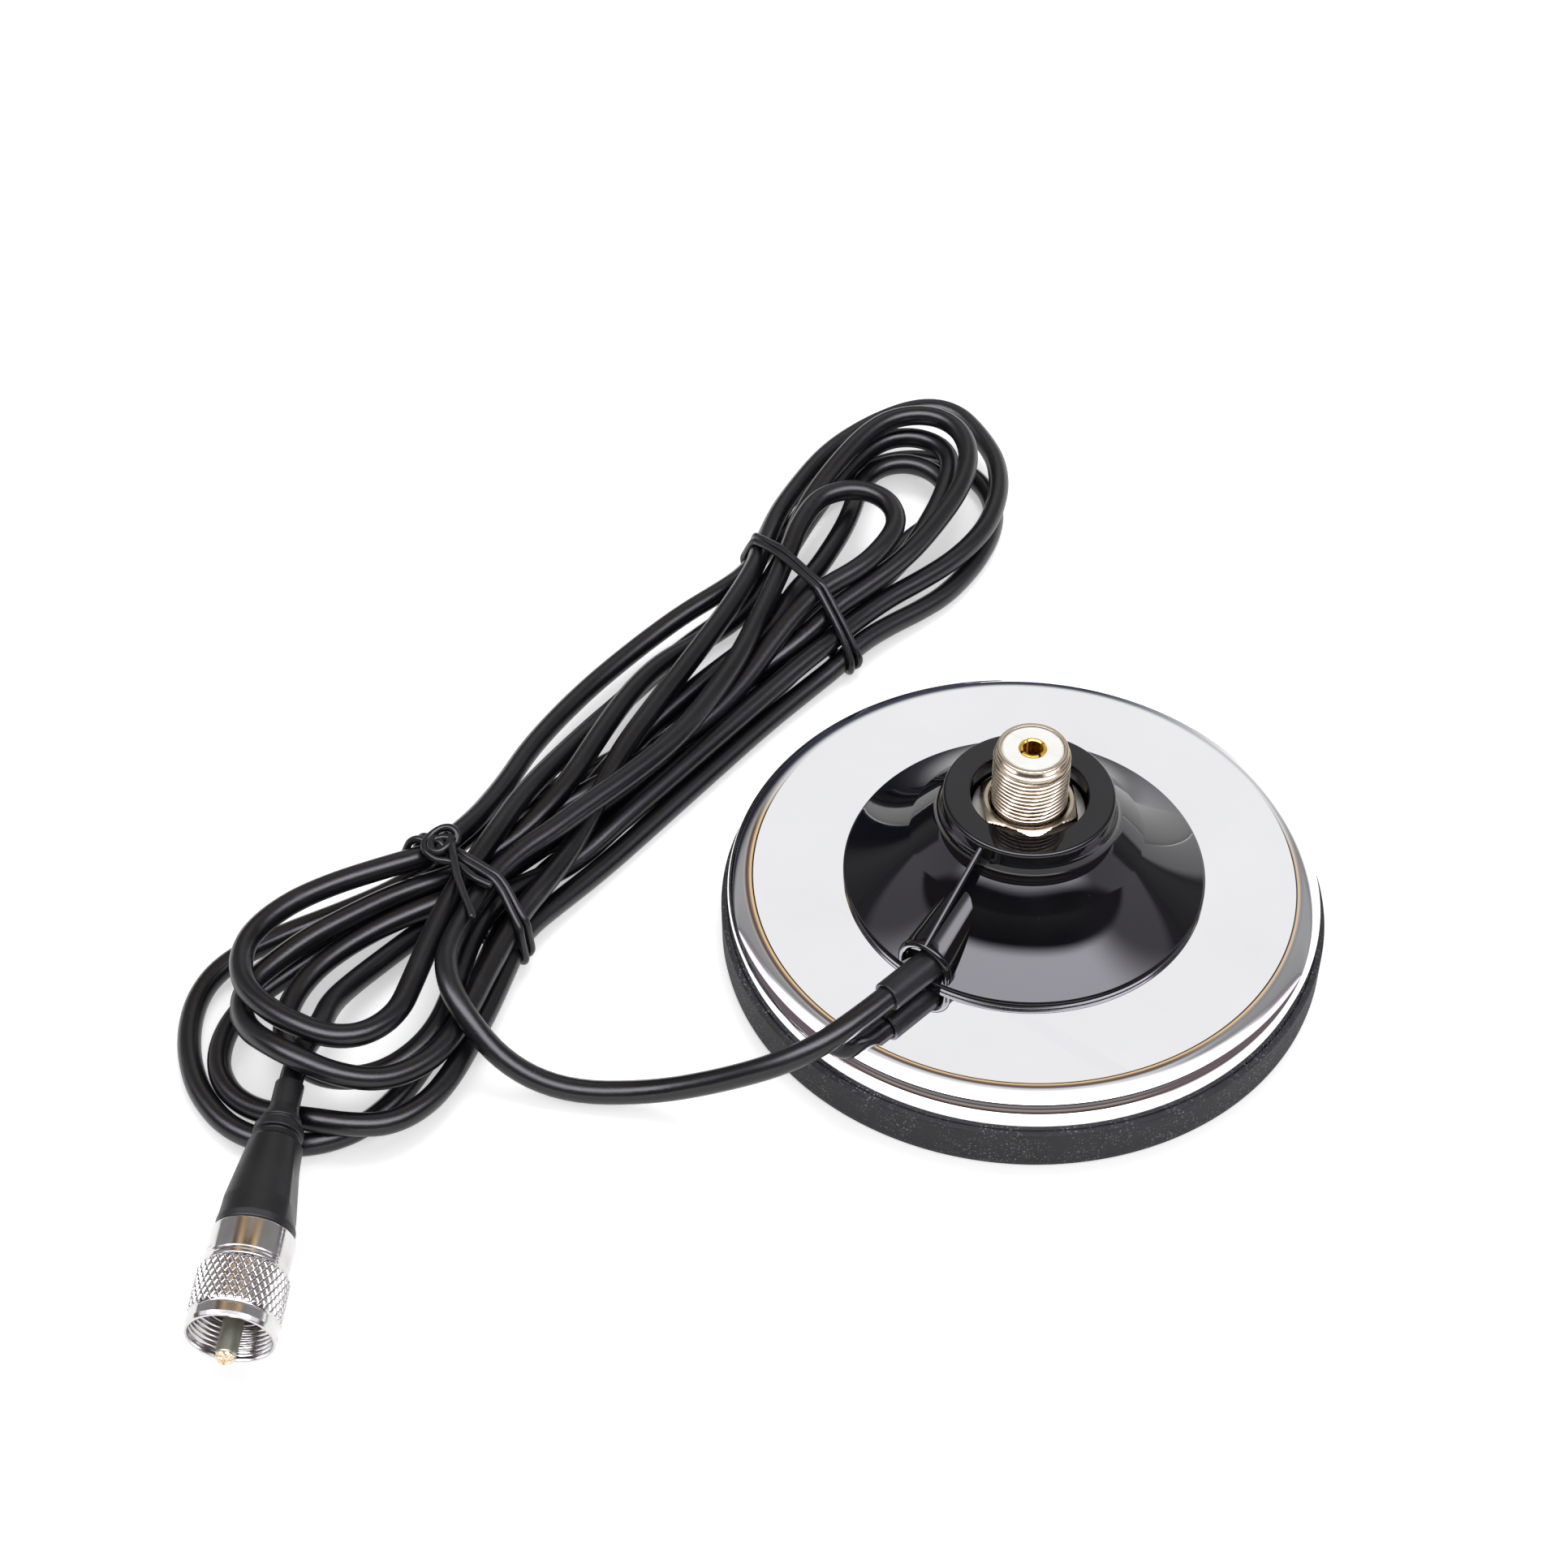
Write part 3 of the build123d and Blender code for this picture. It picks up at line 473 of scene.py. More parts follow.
def dot(tree, vector, direction):
    """How far a vector reaches in a direction."""
    node = tree.nodes.new("ShaderNodeVectorMath")
    node.operation = "DOT_PRODUCT"
    feed(tree, node.inputs[0], vector)
    feed(tree, node.inputs[1], direction)
    return node.outputs["Value"]


def ranged(tree, value, low, high, first=0.0, last=1.0, kind="LINEAR"):
    """A value moved from the span low to high to the span first to last, and held in it."""
    node = tree.nodes.new("ShaderNodeMapRange")
    node.interpolation_type = kind
    for name, given in zip(
            ("Value", "From Min", "From Max", "To Min", "To Max"), (value, low, high, first, last)):
        feed(tree, node.inputs[name], given)
    return node.outputs["Result"]


def blend(tree, share, below, above):
    """Two colours mixed by a share of the upper one."""
    node = tree.nodes.new("ShaderNodeMix")
    node.data_type = "RGBA"
    for socket, given in ((0, share), (6, below), (7, above)):
        feed(tree, node.inputs[socket], given)
    return node.outputs[2]


def ramp(tree, value, stops):
    """A colour ramp from (position, red, green, blue) stops, with a cover where one is given."""
    node = node_of(tree, "ValToRGB", Fac=value)
    elements = node.color_ramp.elements
    stops = [(spot, (*colour, 1)[:4]) for spot, *colour in stops]
    for element, (spot, colour) in zip(elements, (stops[0], stops[-1])):
        element.position, element.color = spot, colour
    for spot, colour in stops[1:-1]:
        elements.new(spot).color = colour
    return node.outputs


def group(name, inputs, output, build):
    """The node group of that name, made the first time: build gets its tree and its inputs and
    gives back the one result."""
    if name in bpy.data.node_groups:
        return bpy.data.node_groups[name]
    tree = bpy.data.node_groups.new(name, "ShaderNodeTree")
    for label in inputs:
        kind = "NodeSocketVector" if label == "Vector" else "NodeSocketFloat"
        tree.interface.new_socket(name=label, in_out="INPUT", socket_type=kind)
    tree.interface.new_socket(name=output, in_out="OUTPUT", socket_type="NodeSocketFloat")
    start, end = tree.nodes.new("NodeGroupInput"), tree.nodes.new("NodeGroupOutput")
    feed(tree, end.inputs[output], build(tree, start.outputs))
    return tree


# ---------------------------------------------------------------- finishes

def grain_height(tree, given):
    """Fine grain: two sizes of noise added, the small one at half strength."""
    vector, scale = given["Vector"], given["Scale"]
    big = node_of(tree, "TexNoise", Vector=vector, Scale=scale, Detail=3.0)
    finer = calc(tree, "MULTIPLY", scale, 3.7)
    small = node_of(tree, "TexNoise", Vector=vector, Scale=finer, Detail=1.0)
    return calc(tree, "MULTIPLY_ADD", small.outputs["Fac"], 0.5, big.outputs["Fac"])


def dust_mask(tree, given):
    """Dust: small round specks where a cell's middle is near, of mixed brightness, thinned out
    by a broad noise."""
    vector = given["Vector"]
    cells = node_of(tree, "TexVoronoi", Vector=vector, Scale=given["Scale"])
    split = node_of(tree, "SeparateColor", Color=cells.outputs["Color"])
    speck = ranged(tree, cells.outputs["Distance"], 0.0, given["Size"], 1.0, 0.0)
    kept = calc(tree, "LESS_THAN", split.outputs["Red"], given["Amount"])
    pale = calc(tree, "POWER", split.outputs["Green"], 2.5)
    broad = node_of(tree, "TexNoise", Vector=vector, Scale=150.0, Detail=6.0)
    patch = ranged(tree, broad.outputs["Fac"], 0.36, 0.78)
    mask = calc(tree, "MULTIPLY", calc(tree, "MULTIPLY", speck, kept), pale)
    return calc(tree, "MULTIPLY", mask, patch)


def wear_mask(tree, given):
    """Handling wear: soft cloudy patches with thin hairlines, from stretched noise."""
    vector, scale = given["Vector"], given["Scale"]
    stretch = node_of(
        tree, "Mapping", Vector=vector, Rotation=(0.3, 0.2, 0.7), Scale=(0.06, 2.2, 1.0))
    cloud = node_of(tree, "TexNoise", Vector=vector, Scale=scale, Detail=5.0)
    lines = node_of(tree, "TexNoise", Vector=stretch.outputs[0], Scale=scale)
    thin = ranged(tree, lines.outputs["Fac"], 0.68, 0.74)
    return calc(tree, "MULTIPLY_ADD", thin, 0.6, cloud.outputs["Fac"], clamp=True)


def finish_of(name, colour, roughness, metallic=0.0, grain=None, dust=None, wear=60.0,
              second=None, specular=0.5, dust_colour=(0.5, 0.5, 0.5)):
    """A procedural finish on Object coordinates.

    colour: main colour. second: colour that the wear mask mixes in. roughness: (low, high),
    spread by the wear mask. grain: (scale, height in metres). dust: (scale, size, amount).
    wear: scale of the wear mask.
    """
    material = bpy.data.materials.new(name)
    material.use_nodes = True
    tree = material.node_tree
    shader = tree.nodes["Principled BSDF"]
    shader.inputs["Metallic"].default_value = metallic
    shader.inputs["Specular IOR Level"].default_value = specular
    material.diffuse_color = (*colour, 1.0)
    place = node_of(tree, "TexCoord").outputs["Object"]

    def use(group_name, output, build, **values):
        node = tree.nodes.new("ShaderNodeGroup")
        node.node_tree = group(group_name, ("Vector", *values), output, build)
        for key, value in dict(Vector=place, **values).items():
            feed(tree, node.inputs[key], value)
        return node.outputs[output]

    worn = use("handling_wear", "Mask", wear_mask, Scale=wear)
    feed(tree, shader.inputs["Roughness"], ranged(tree, worn, 0.3, 0.8, *roughness))
    second = second or tuple(0.8 * c for c in colour)
    shade = blend(tree, ranged(tree, worn, 0.35, 0.75), (*colour, 1.0), (*second, 1.0))
    if dust:
        specks = use("dust_specks", "Mask", dust_mask, Scale=dust[0], Size=dust[1], Amount=dust[2])
        shade = blend(tree, specks, shade, (*dust_colour, 1.0))
    feed(tree, shader.inputs["Base Color"], shade)
    if grain:
        height = use("fine_grain", "Height", grain_height, Scale=grain[0])
        bump = node_of(tree, "Bump", Strength=1.0, Distance=grain[1], Height=height)
        feed(tree, shader.inputs["Normal"], bump.outputs["Normal"])
    return material


def finishes(c):
    """Colour, roughness and the other values of each finish."""
    return {
        "chrome_plate": dict(
            colour=c.chrome, roughness=(0.012, 0.035), metallic=1.0, wear=45.0,
            second=(0.87, 0.87, 0.885)),
        "gloss_cone": dict(
            colour=c.cone, roughness=(0.02, 0.06), wear=70.0, second=(0.006, 0.006, 0.008),
            specular=0.42, dust=(900.0, 0.10, 0.03), dust_colour=(0.3, 0.3, 0.3)),
        "boot_rubber": dict(
            colour=c.rubber, roughness=(0.6, 0.78), grain=(2400.0, 0.00008), wear=140.0,
            dust=(2300.0, 0.6, 0.6), second=(0.030, 0.030, 0.034), dust_colour=c.dust,
            specular=0.3),
        "socket_nickel": dict(
            colour=c.nickel, roughness=(0.14, 0.28), metallic=1.0, grain=(2600.0, 0.000004),
            wear=160.0, second=(0.38, 0.31, 0.22)),
        "plug_nickel": dict(
            colour=c.plug_nickel, roughness=(0.09, 0.24), metallic=1.0, grain=(2200.0, 0.000004),
            wear=150.0, second=(0.52, 0.50, 0.49)),
        "contact_gold": dict(
            colour=c.gold, roughness=(0.22, 0.34), metallic=1.0, wear=300.0,
            second=(0.80, 0.50, 0.10)),
        "white_insulator": dict(
            colour=c.insulator, roughness=(0.35, 0.5), grain=(1500.0, 0.00001), wear=200.0,
            second=(0.80, 0.79, 0.75)),
        "zinc_steel": dict(
            colour=(0.60, 0.60, 0.59), roughness=(0.28, 0.45), metallic=1.0,
            grain=(1800.0, 0.00001), wear=220.0, second=(0.48, 0.47, 0.45)),
        "ferrite": dict(
            colour=(0.06, 0.06, 0.064), roughness=(0.6, 0.8), grain=(1500.0, 0.00008)),
        "coax_jacket": dict(
            colour=c.jacket, roughness=(0.27, 0.36), grain=(700.0, 0.00003), specular=0.46,
            dust=(2000.0, 0.3, 0.05), second=(0.006, 0.006, 0.008), dust_colour=(0.3, 0.3, 0.3)),
        "sleeve_black": dict(
            colour=c.sleeve, roughness=(0.34, 0.48), grain=(1300.0, 0.00002), wear=120.0,
            specular=0.34, dust=(1500.0, 0.25, 0.05), second=(0.014, 0.014, 0.015),
            dust_colour=(0.35, 0.35, 0.34)),
        "tie_black": dict(
            colour=(0.006, 0.006, 0.007), roughness=(0.26, 0.4), grain=(900.0, 0.00002),
            wear=150.0, second=(0.012, 0.012, 0.014), specular=0.4),
        "pin_metal": dict(
            colour=(0.42, 0.43, 0.36), roughness=(0.3, 0.45), metallic=1.0,
            grain=(1500.0, 0.00002), wear=300.0, second=(0.25, 0.26, 0.2)),
        "solder": dict(
            colour=(0.86, 0.80, 0.66), roughness=(0.18, 0.4), metallic=1.0, grain=(900.0, 0.0002),
            wear=700.0, second=(0.75, 0.5, 0.2)),
        "plug_insulator": dict(
            colour=(0.05, 0.05, 0.05), roughness=(0.4, 0.55), grain=(900.0, 0.00002), wear=150.0),
        "bare_copper": dict(
            colour=(0.80, 0.42, 0.25), roughness=(0.2, 0.35), metallic=1.0, wear=300.0,
            second=(0.6, 0.3, 0.18)),
    }


def finish(name):
    """The finish of that name, made the first time it is asked for."""
    found = bpy.data.materials.get(name)
    if not (found and found.get("made_here")):
        found = finish_of(name, **finishes(bpy.context.scene.mount_colours)[name])
        found["made_here"] = True
    return found


# ---------------------------------------------------------------- shapes

def cup_profile(sizes):
    """The cup's section: a sheet 1.2 mm thick, flat on top, then a quarter of a superellipse of
    power 1.7 down to the upright wall: reach sin(a)^(2/1.7) out, drop cos(a)^(2/1.7) up."""
    r, reach, drop = (v / MM for v in (sizes.cup_radius, sizes.rim_reach, sizes.rim_drop))
    t = CUP_SHEET
    a = np.linspace(0, math.pi / 2, 48)[:, None]
    middle = np.array([[r - reach, CUP_TOP - drop]])
    out, up = (np.clip(wave(a), 0, 1) ** (2 / 1.7) for wave in (np.sin, np.cos))
    outer = middle + np.hstack([reach * out, drop * up])
    inner = middle + np.hstack([(reach - t) * out, (drop - t) * up])
    foot = rounded([
        (r, CUP_TOP - drop), (r, BOOT_FLOOR + 0.2, 0.3), (r - t, BOOT_FLOOR + 0.2, 0.3),
        (r - t, CUP_TOP - drop)], steps=6)
    flat = [[0.0, CUP_TOP], [r - reach - 0.08, CUP_TOP]]
    return np.vstack([flat, outer, foot[1:-1], inner[::-1], [[0.0, CUP_TOP - t]]])


def boot_profile(sizes):
    """The boot's section: a shallow rubber dish, its lip a little rounded and rolled in to the
    cup."""
    r, inner = (sizes.cup_radius + sizes.boot_wall) / MM, sizes.cup_radius / MM
    return rounded([
        (0.0, 0.0), (r - 0.25, 0.0, 0.7), (r, 1.6, 0.8), (r, BOOT_TOP, 0.45),
        (inner + 0.05, BOOT_TOP, 0.3), (inner + 0.03, BOOT_FLOOR, 0.2), (0.0, BOOT_FLOOR)], steps=6)


def cone_profile(sizes):
    """The cone cover's section, a closed loop.

    From the nut's recess over the collar's lip, round the shoulder, down the side that sags
    below its straight line by hollow * 4 s (1 - s), over the rounded foot, and back inside.
    """
    r, hollow = sizes.cone_radius / MM, sizes.cone_hollow / MM
    foot = np.array([r, CUP_TOP + 1.5])
    top = np.array(SHOULDER)
    side = rounded([
        (CONE_BORE, RECESS_FLOOR), (RECESS_RADIUS, RECESS_FLOOR, 0.3),
        (RECESS_RADIUS, COLLAR_TOP, 0.35), (COLLAR_RADIUS, COLLAR_TOP, 0.8),
        (COLLAR_RADIUS, COLLAR_FOOT, 7.0), tuple(top + (foot - top) * 0.12)], steps=12)
    s = np.linspace(0.12, 0.93, 26)[:, None]
    out = (foot - top) / np.linalg.norm(foot - top)
    down = np.array([out[1], -out[0]])
    sag = top + (foot - top) * s + down * hollow * 4 * (s - 0.12) * (1 - s)
    edge = rounded([
        tuple(sag[-1]), (*foot, 2.2), (r, CONE_FOOT, 0.25), (r - 2.6, CONE_FOOT), (20.2, 31.0),
        (15.6, 35.0), (CONE_BORE, 35.0)], steps=12)
    return np.vstack([side[:-1], sag[:-1], edge])


def arch_loop(half, crown, foot, count):
    """An upright arch as a closed loop of (x, z): up one side, over a half circle, down the
    other and back along the foot. It has the same number of points on each part every time."""
    spring = crown - half
    n = count // 4
    up = np.stack([np.full(n, -half), np.linspace(foot, spring, n, endpoint=False)], -1)
    a = np.linspace(math.pi, 0, 2 * n)
    over = np.stack([half * np.cos(a), spring + half * np.sin(a)], -1)
    down = np.stack([np.full(n, half), np.linspace(spring, foot, n + 1)[1:]], -1)
    back = np.stack([np.linspace(half, -half, n + 2)[1:-1], np.full(n, foot)], -1)
    return np.vstack([up, over, down, back])


def duct_shell(foot):
    """The cable duct: arches blended from the back to the mouth, a rounded mouth rim, a short
    inner wall and the web behind it. Each row is an arch (half-width, crown, distance to -Y)."""
    (hf, cf), (hb, cb) = ARCH_FRONT, ARCH_BACK
    rim_inset, rim_radius, web = 0.6, 0.85, DUCT_MOUTH - 1.9
    rows = [(hb + (hf - hb) * k, cb + (cf - cb) * k, DUCT_BACK + (web - DUCT_BACK) * k)
            for k in np.linspace(0, 1, 24)]
    rows += [(hf - rim_inset + rim_radius * math.cos(k), cf - rim_inset + rim_radius * math.cos(k),
              DUCT_MOUTH - 0.8 + rim_radius * math.sin(k)) for k in np.linspace(-0.9, math.pi, 14)]
    rows += [(hf - inset, cf - inset, DUCT_MOUTH - depth) for inset, depth in (
        (1.47, 1.3), (1.5, 1.6), (1.52, 1.9), (2.2, 2.0))]
    grid = []
    for half, crown, y in rows:
        loop = arch_loop(half, crown, foot, 72)
        grid.append(np.stack([loop[:, 0], np.full(len(loop), -y), loop[:, 1]], -1))
    return shell(np.array(grid))


def rib_shell():
    """The thin rib from the collar to the mouth's crown: a round-topped blade, 1.2 mm thick,
    whose top line runs straight from the collar to the crown."""
    start, end, half, steps = -17.4, -36.9, 0.6, 9
    s = np.linspace(0, 1, 20)[:, None]
    top = np.array([[start, 40.6]]) * (1 - s) + np.array([[end, 27.55]]) * s
    low = np.array([[start, 33.5]]) * (1 - s) + np.array([[end, 26.0]]) * s
    a = np.linspace(0, math.pi, steps)
    across = np.concatenate([[-half], -half * np.cos(a), [half]])
    lift = np.concatenate([[0.0], np.full(steps, 1.0), [0.0]])
    crown = np.concatenate([[0.0], half * 0.8 * np.sin(a) - half * 0.8, [0.0]])
    y = top[:, :1] * lift + low[:, :1] * (1 - lift)
    z = top[:, 1:] * lift + low[:, 1:] * (1 - lift) + crown
    return shell(np.stack([across + 0 * y, y, z], -1))


def thread_rows(low, high, crest, depth, pitch, a, per_turn=12, fade=1.0):
    """A true helical thread on a grid: radius = crest - depth * v, where v is a V wave, narrow at
    the root, of height / pitch - angle / full turn, and the depth fades out at both ends."""
    z = np.linspace(low, high, int((high - low) / pitch * per_turn))[:, None]
    wave = np.abs(((z / pitch - a / (2 * math.pi)) % 1.0) * 2 - 1)
    wave = np.clip(wave * 1.35 - 0.25, 0, 1) ** 1.3
    ends = np.clip((z - low) / fade, 0, 1) * np.clip((high - z) / fade, 0, 1)
    return crest - depth * wave * ends, z + 0 * a, a + 0 * z


def rows_of(profile, a):
    """Radius, height and angle grids of a turned profile."""
    return profile[:, :1] + 0 * a, profile[:, 1:] + 0 * a, a + 0 * profile[:, :1]


def joined(parts):
    """Stacks (radius, height, angle) grids into one."""
    return tuple(np.vstack([p[k] for p in parts]) for k in range(3))


def spread(r, z, a):
    """Points from radius, height and angle grids."""
    return np.stack([r * np.cos(a), r * np.sin(a), z], -1)


# ---------------------------------------------------------------- operators

class MOUNT_OT_base(Operator):
    """Builds the chrome cup and the rubber boot under it"""
    bl_idname = "mount.base"
    bl_label = "Cup and boot"

    def execute(self, context):
        sizes = context.scene.mount_base
        piece("chrome_disc", [turned(cup_profile(sizes), sizes.segments, False)], "chrome_plate",
              "chrome_cup")
        piece("boot", [turned(boot_profile(sizes), sizes.segments, False)], "boot_rubber",
              "rubber_boot")
        return {"FINISHED"}


class MOUNT_OT_cone(Operator):
    """Builds the glossy cone cover with its collar, cable duct and rib"""
    bl_idname = "mount.cone"
    bl_label = "Cone cover"

    def execute(self, context):
        sizes = context.scene.mount_base
        shells = [turned(cone_profile(sizes), sizes.segments), duct_shell(CONE_FOOT), rib_shell()]
        piece("cone", shells, "gloss_cone", "cone_cover", crease=32.0)
        return {"FINISHED"}


class MOUNT_OT_socket(Operator):
    """Builds the threaded socket, its insulator, its slotted contact, the nut and the washer"""
    bl_idname = "mount.socket"
    bl_label = "Socket and nut"

    def execute(self, context):
        sizes = context.scene.mount_socket
        crest, pitch, depth = (
            v / MM for v in (sizes.thread_radius, sizes.thread_pitch, sizes.thread_depth))
        sides, thread_foot, thread_top, lip = 128, 40.1, 52.2, 7.35
        a = around(sides)[None]
        top = rounded([
            (crest - 0.05, thread_top), (crest - 0.12, 52.75, 0.2), (lip, 53.0, 0.25),
            (lip, SOCKET_TOP, 0.55), (SOCKET_BORE, SOCKET_TOP, 0.12), (SOCKET_BORE, 47.0)], steps=8)
        inner = np.array([[SOCKET_BORE, 46.0], [6.3, 40.5], [7.0, 40.5]])
        rows = joined([
            thread_rows(thread_foot, thread_top, crest, depth, pitch, a),
            rows_of(top, a), rows_of(inner, a)])
        piece("socket_thread", [shell(spread(*rows), wrap_rows=True)], "socket_nickel",
              "socket_shell", crease=40.0)
        face = rounded([
            (2.85, 47.2), (2.85, 54.35, 0.1), (3.25, 54.45, 0.1), (5.95, 54.45, 0.2),
            (6.36, 54.2, 0.1), (6.36, 47.2)], closed=True, steps=4)
        piece("socket_face", [turned(face, sides)], "white_insulator",
              "socket_insulator")
        piece("contact", self.fingers(), "contact_gold", "socket_contact")
        piece("nut", [self.nut(sizes)], "socket_nickel", "hex_nut", crease=20.0)
        washer = rounded([
            (8.2, 36.45, 0.1), (11.85, 36.45, 0.15), (11.85, 37.18, 0.2), (8.2, 37.18, 0.1)],
            closed=True, steps=4)
        piece("washer", [turned(washer, 96)], "zinc_steel", "flat_washer")
        return {"FINISHED"}

    def fingers(self):
        """Four gold fingers: each a quarter of a tube less a half millimetre slot, with a
        section that is a rounded rectangle swept through its arc."""
        section = rounded([
            (CONTACT_BORE, 44.5), (CONTACT_BORE, 54.5, 0.12), (2.35, 54.7, 0.1),
            (CONTACT_RADIUS, 54.6, 0.12), (CONTACT_RADIUS, 44.5)], closed=True, steps=4)
        r, z = section[None, :, 0], section[None, :, 1]
        slot, middle = 0.5, 2.4
        half = math.pi / 4 - slot / 2 / middle
        shells = []
        for quarter in range(4):
            turn = math.radians(20.0) + quarter * math.pi / 2
            a = (turn + np.linspace(-half, half, 13))[:, None]
            shells.append(shell(spread(r, z + 0 * a, a)))
        return shells

    def nut(self, sizes):
        """The hexagon nut: radius = flat / cos(angle to the nearest flat), cut by chamfer cones
        that rise from the corners at both faces."""
        corner = sizes.nut_corner / MM
        flat = corner * math.cos(math.pi / 6)
        a = around(216)[None]
        off = (a - sizes.nut_turn + math.pi / 6) % (math.pi / 3) - math.pi / 6
        hexagon = flat / np.cos(math.pi / 6 - np.abs(off))
        z = np.concatenate([
            np.linspace(0, 0.9, 8), np.linspace(0.95, 1.85, 4),
            np.linspace(1.9, NUT_HEIGHT, 8)])[:, None]
        edge = np.minimum(z, NUT_HEIGHT - z)
        outer = np.minimum(hexagon, flat - 0.25 + edge * 1.9)
        outer = np.where(edge < 1e-6, flat - 0.3, outer)
        ring = np.array([[9.2], [8.5], [8.1]])
        top = ring + 0 * a
        tall = np.array([[NUT_HEIGHT], [NUT_HEIGHT], [2.45]]) + 0 * a
        low = np.array([[0.35], [0.0], [0.0]]) + 0 * a
        r = np.vstack([outer, top, top[::-1]])
        h = np.vstack([z + 0 * a, tall, low])
        return shell(spread(r, h + NUT_FOOT, a + 0 * h), wrap_rows=True)


class MOUNT_OT_sleeve(Operator):
    """Builds the strain sleeve that the coax leaves the duct through"""
    bl_idname = "mount.sleeve"
    bl_label = "Strain sleeve"

    def execute(self, context):
        bore, radius, inside, outside = 2.5, 3.25, -1.9, 12.1
        section = rounded([
            (bore, inside), (radius, inside, 0.1), (radius, outside, 0.38), (bore, outside, 0.2)],
            closed=True, steps=8)
        piece("sleeve", [turned_on(SLEEVE_MOUTH, SLEEVE_WAY, section, 64)], "sleeve_black",
              "strain_sleeve")
        return {"FINISHED"}


class MOUNT_OT_coax(Operator):
    """Lays the coax from the sleeve through its bundle to the plug"""
    bl_idname = "mount.coax"
    bl_label = "Coax"

    def execute(self, context):
        sizes = context.scene.mount_coax
        data = bpy.data.curves.new("coax", "CURVE")
        data.dimensions = "3D"
        data.bevel_depth = sizes.coax_radius
        data.bevel_resolution = 5
        data.resolution_u = 6
        data.use_fill_caps = True
        points = np.array(LEAD + HANK + TAIL) * MM
        line = data.splines.new("NURBS")
        line.points.add(len(points) - 1)
        line.points.foreach_set("co", np.hstack([points, np.ones((len(points), 1))]).ravel())
        line.order_u = 3
        line.use_endpoint_u = True
        line.resolution_u = 6
        data.materials.append(finish("coax_jacket"))
        coax = bpy.data.objects.new("coax", data)
        context.scene.collection.objects.link(coax)
        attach(coax, "base")
        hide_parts("coax_lead", "coax_hank", "coax_tail")
        return {"FINISHED"}


def coax_line():
    """The coax's centre line in millimetres, read from its curve with no thickness."""
    data = bpy.data.objects["coax"].data.copy()
    data.bevel_depth = 0.0
    probe = bpy.data.objects.new("probe", data)
    bpy.context.scene.collection.objects.link(probe)
    bpy.context.view_layer.update()
    mesh = bpy.data.meshes.new_from_object(probe)
    co = np.empty(len(mesh.vertices) * 3)
    mesh.vertices.foreach_get("co", co)
    bpy.data.objects.remove(probe)
    bpy.data.curves.remove(data)
    bpy.data.meshes.remove(mesh)
    return co.reshape(-1, 3) / MM


def tie_outline(line, middle, way, reach):
    """The loop that a tight tie makes around the bundle, in the plane through middle square to
    way: the convex outline of circles of radius reach around each strand that crosses it."""
    way = way / np.linalg.norm(way)
    side, up = frame_of(way)
    off = (line - middle) @ way
    near = np.linalg.norm(line - middle, axis=1) < 34.0
    cross = np.nonzero((off[:-1] * off[1:] <= 0) & near[:-1])[0]
    f = (off[cross] / (off[cross] - off[cross + 1]))[:, None]
    hits = line[cross] * (1 - f) + line[cross + 1] * f - middle
    u, v = hits @ side, hits @ up
    a = around(120)
    support = (u[:, None] * np.cos(a) + v[:, None] * np.sin(a)).max(0) + reach
    slope = (np.roll(support, -1) - np.roll(support, 1)) / (a[1] * 2)
    x = support * np.cos(a) - slope * np.sin(a)
    y = support * np.sin(a) + slope * np.cos(a)
    for _ in range(6):
        x, y = (0.25 * np.roll(q, 1) + 0.5 * q + 0.25 * np.roll(q, -1) for q in (x, y))
    loop = middle + x[:, None] * side + y[:, None] * up
    loop[:, 2] = np.maximum(loop[:, 2], 0.9)
    return loop


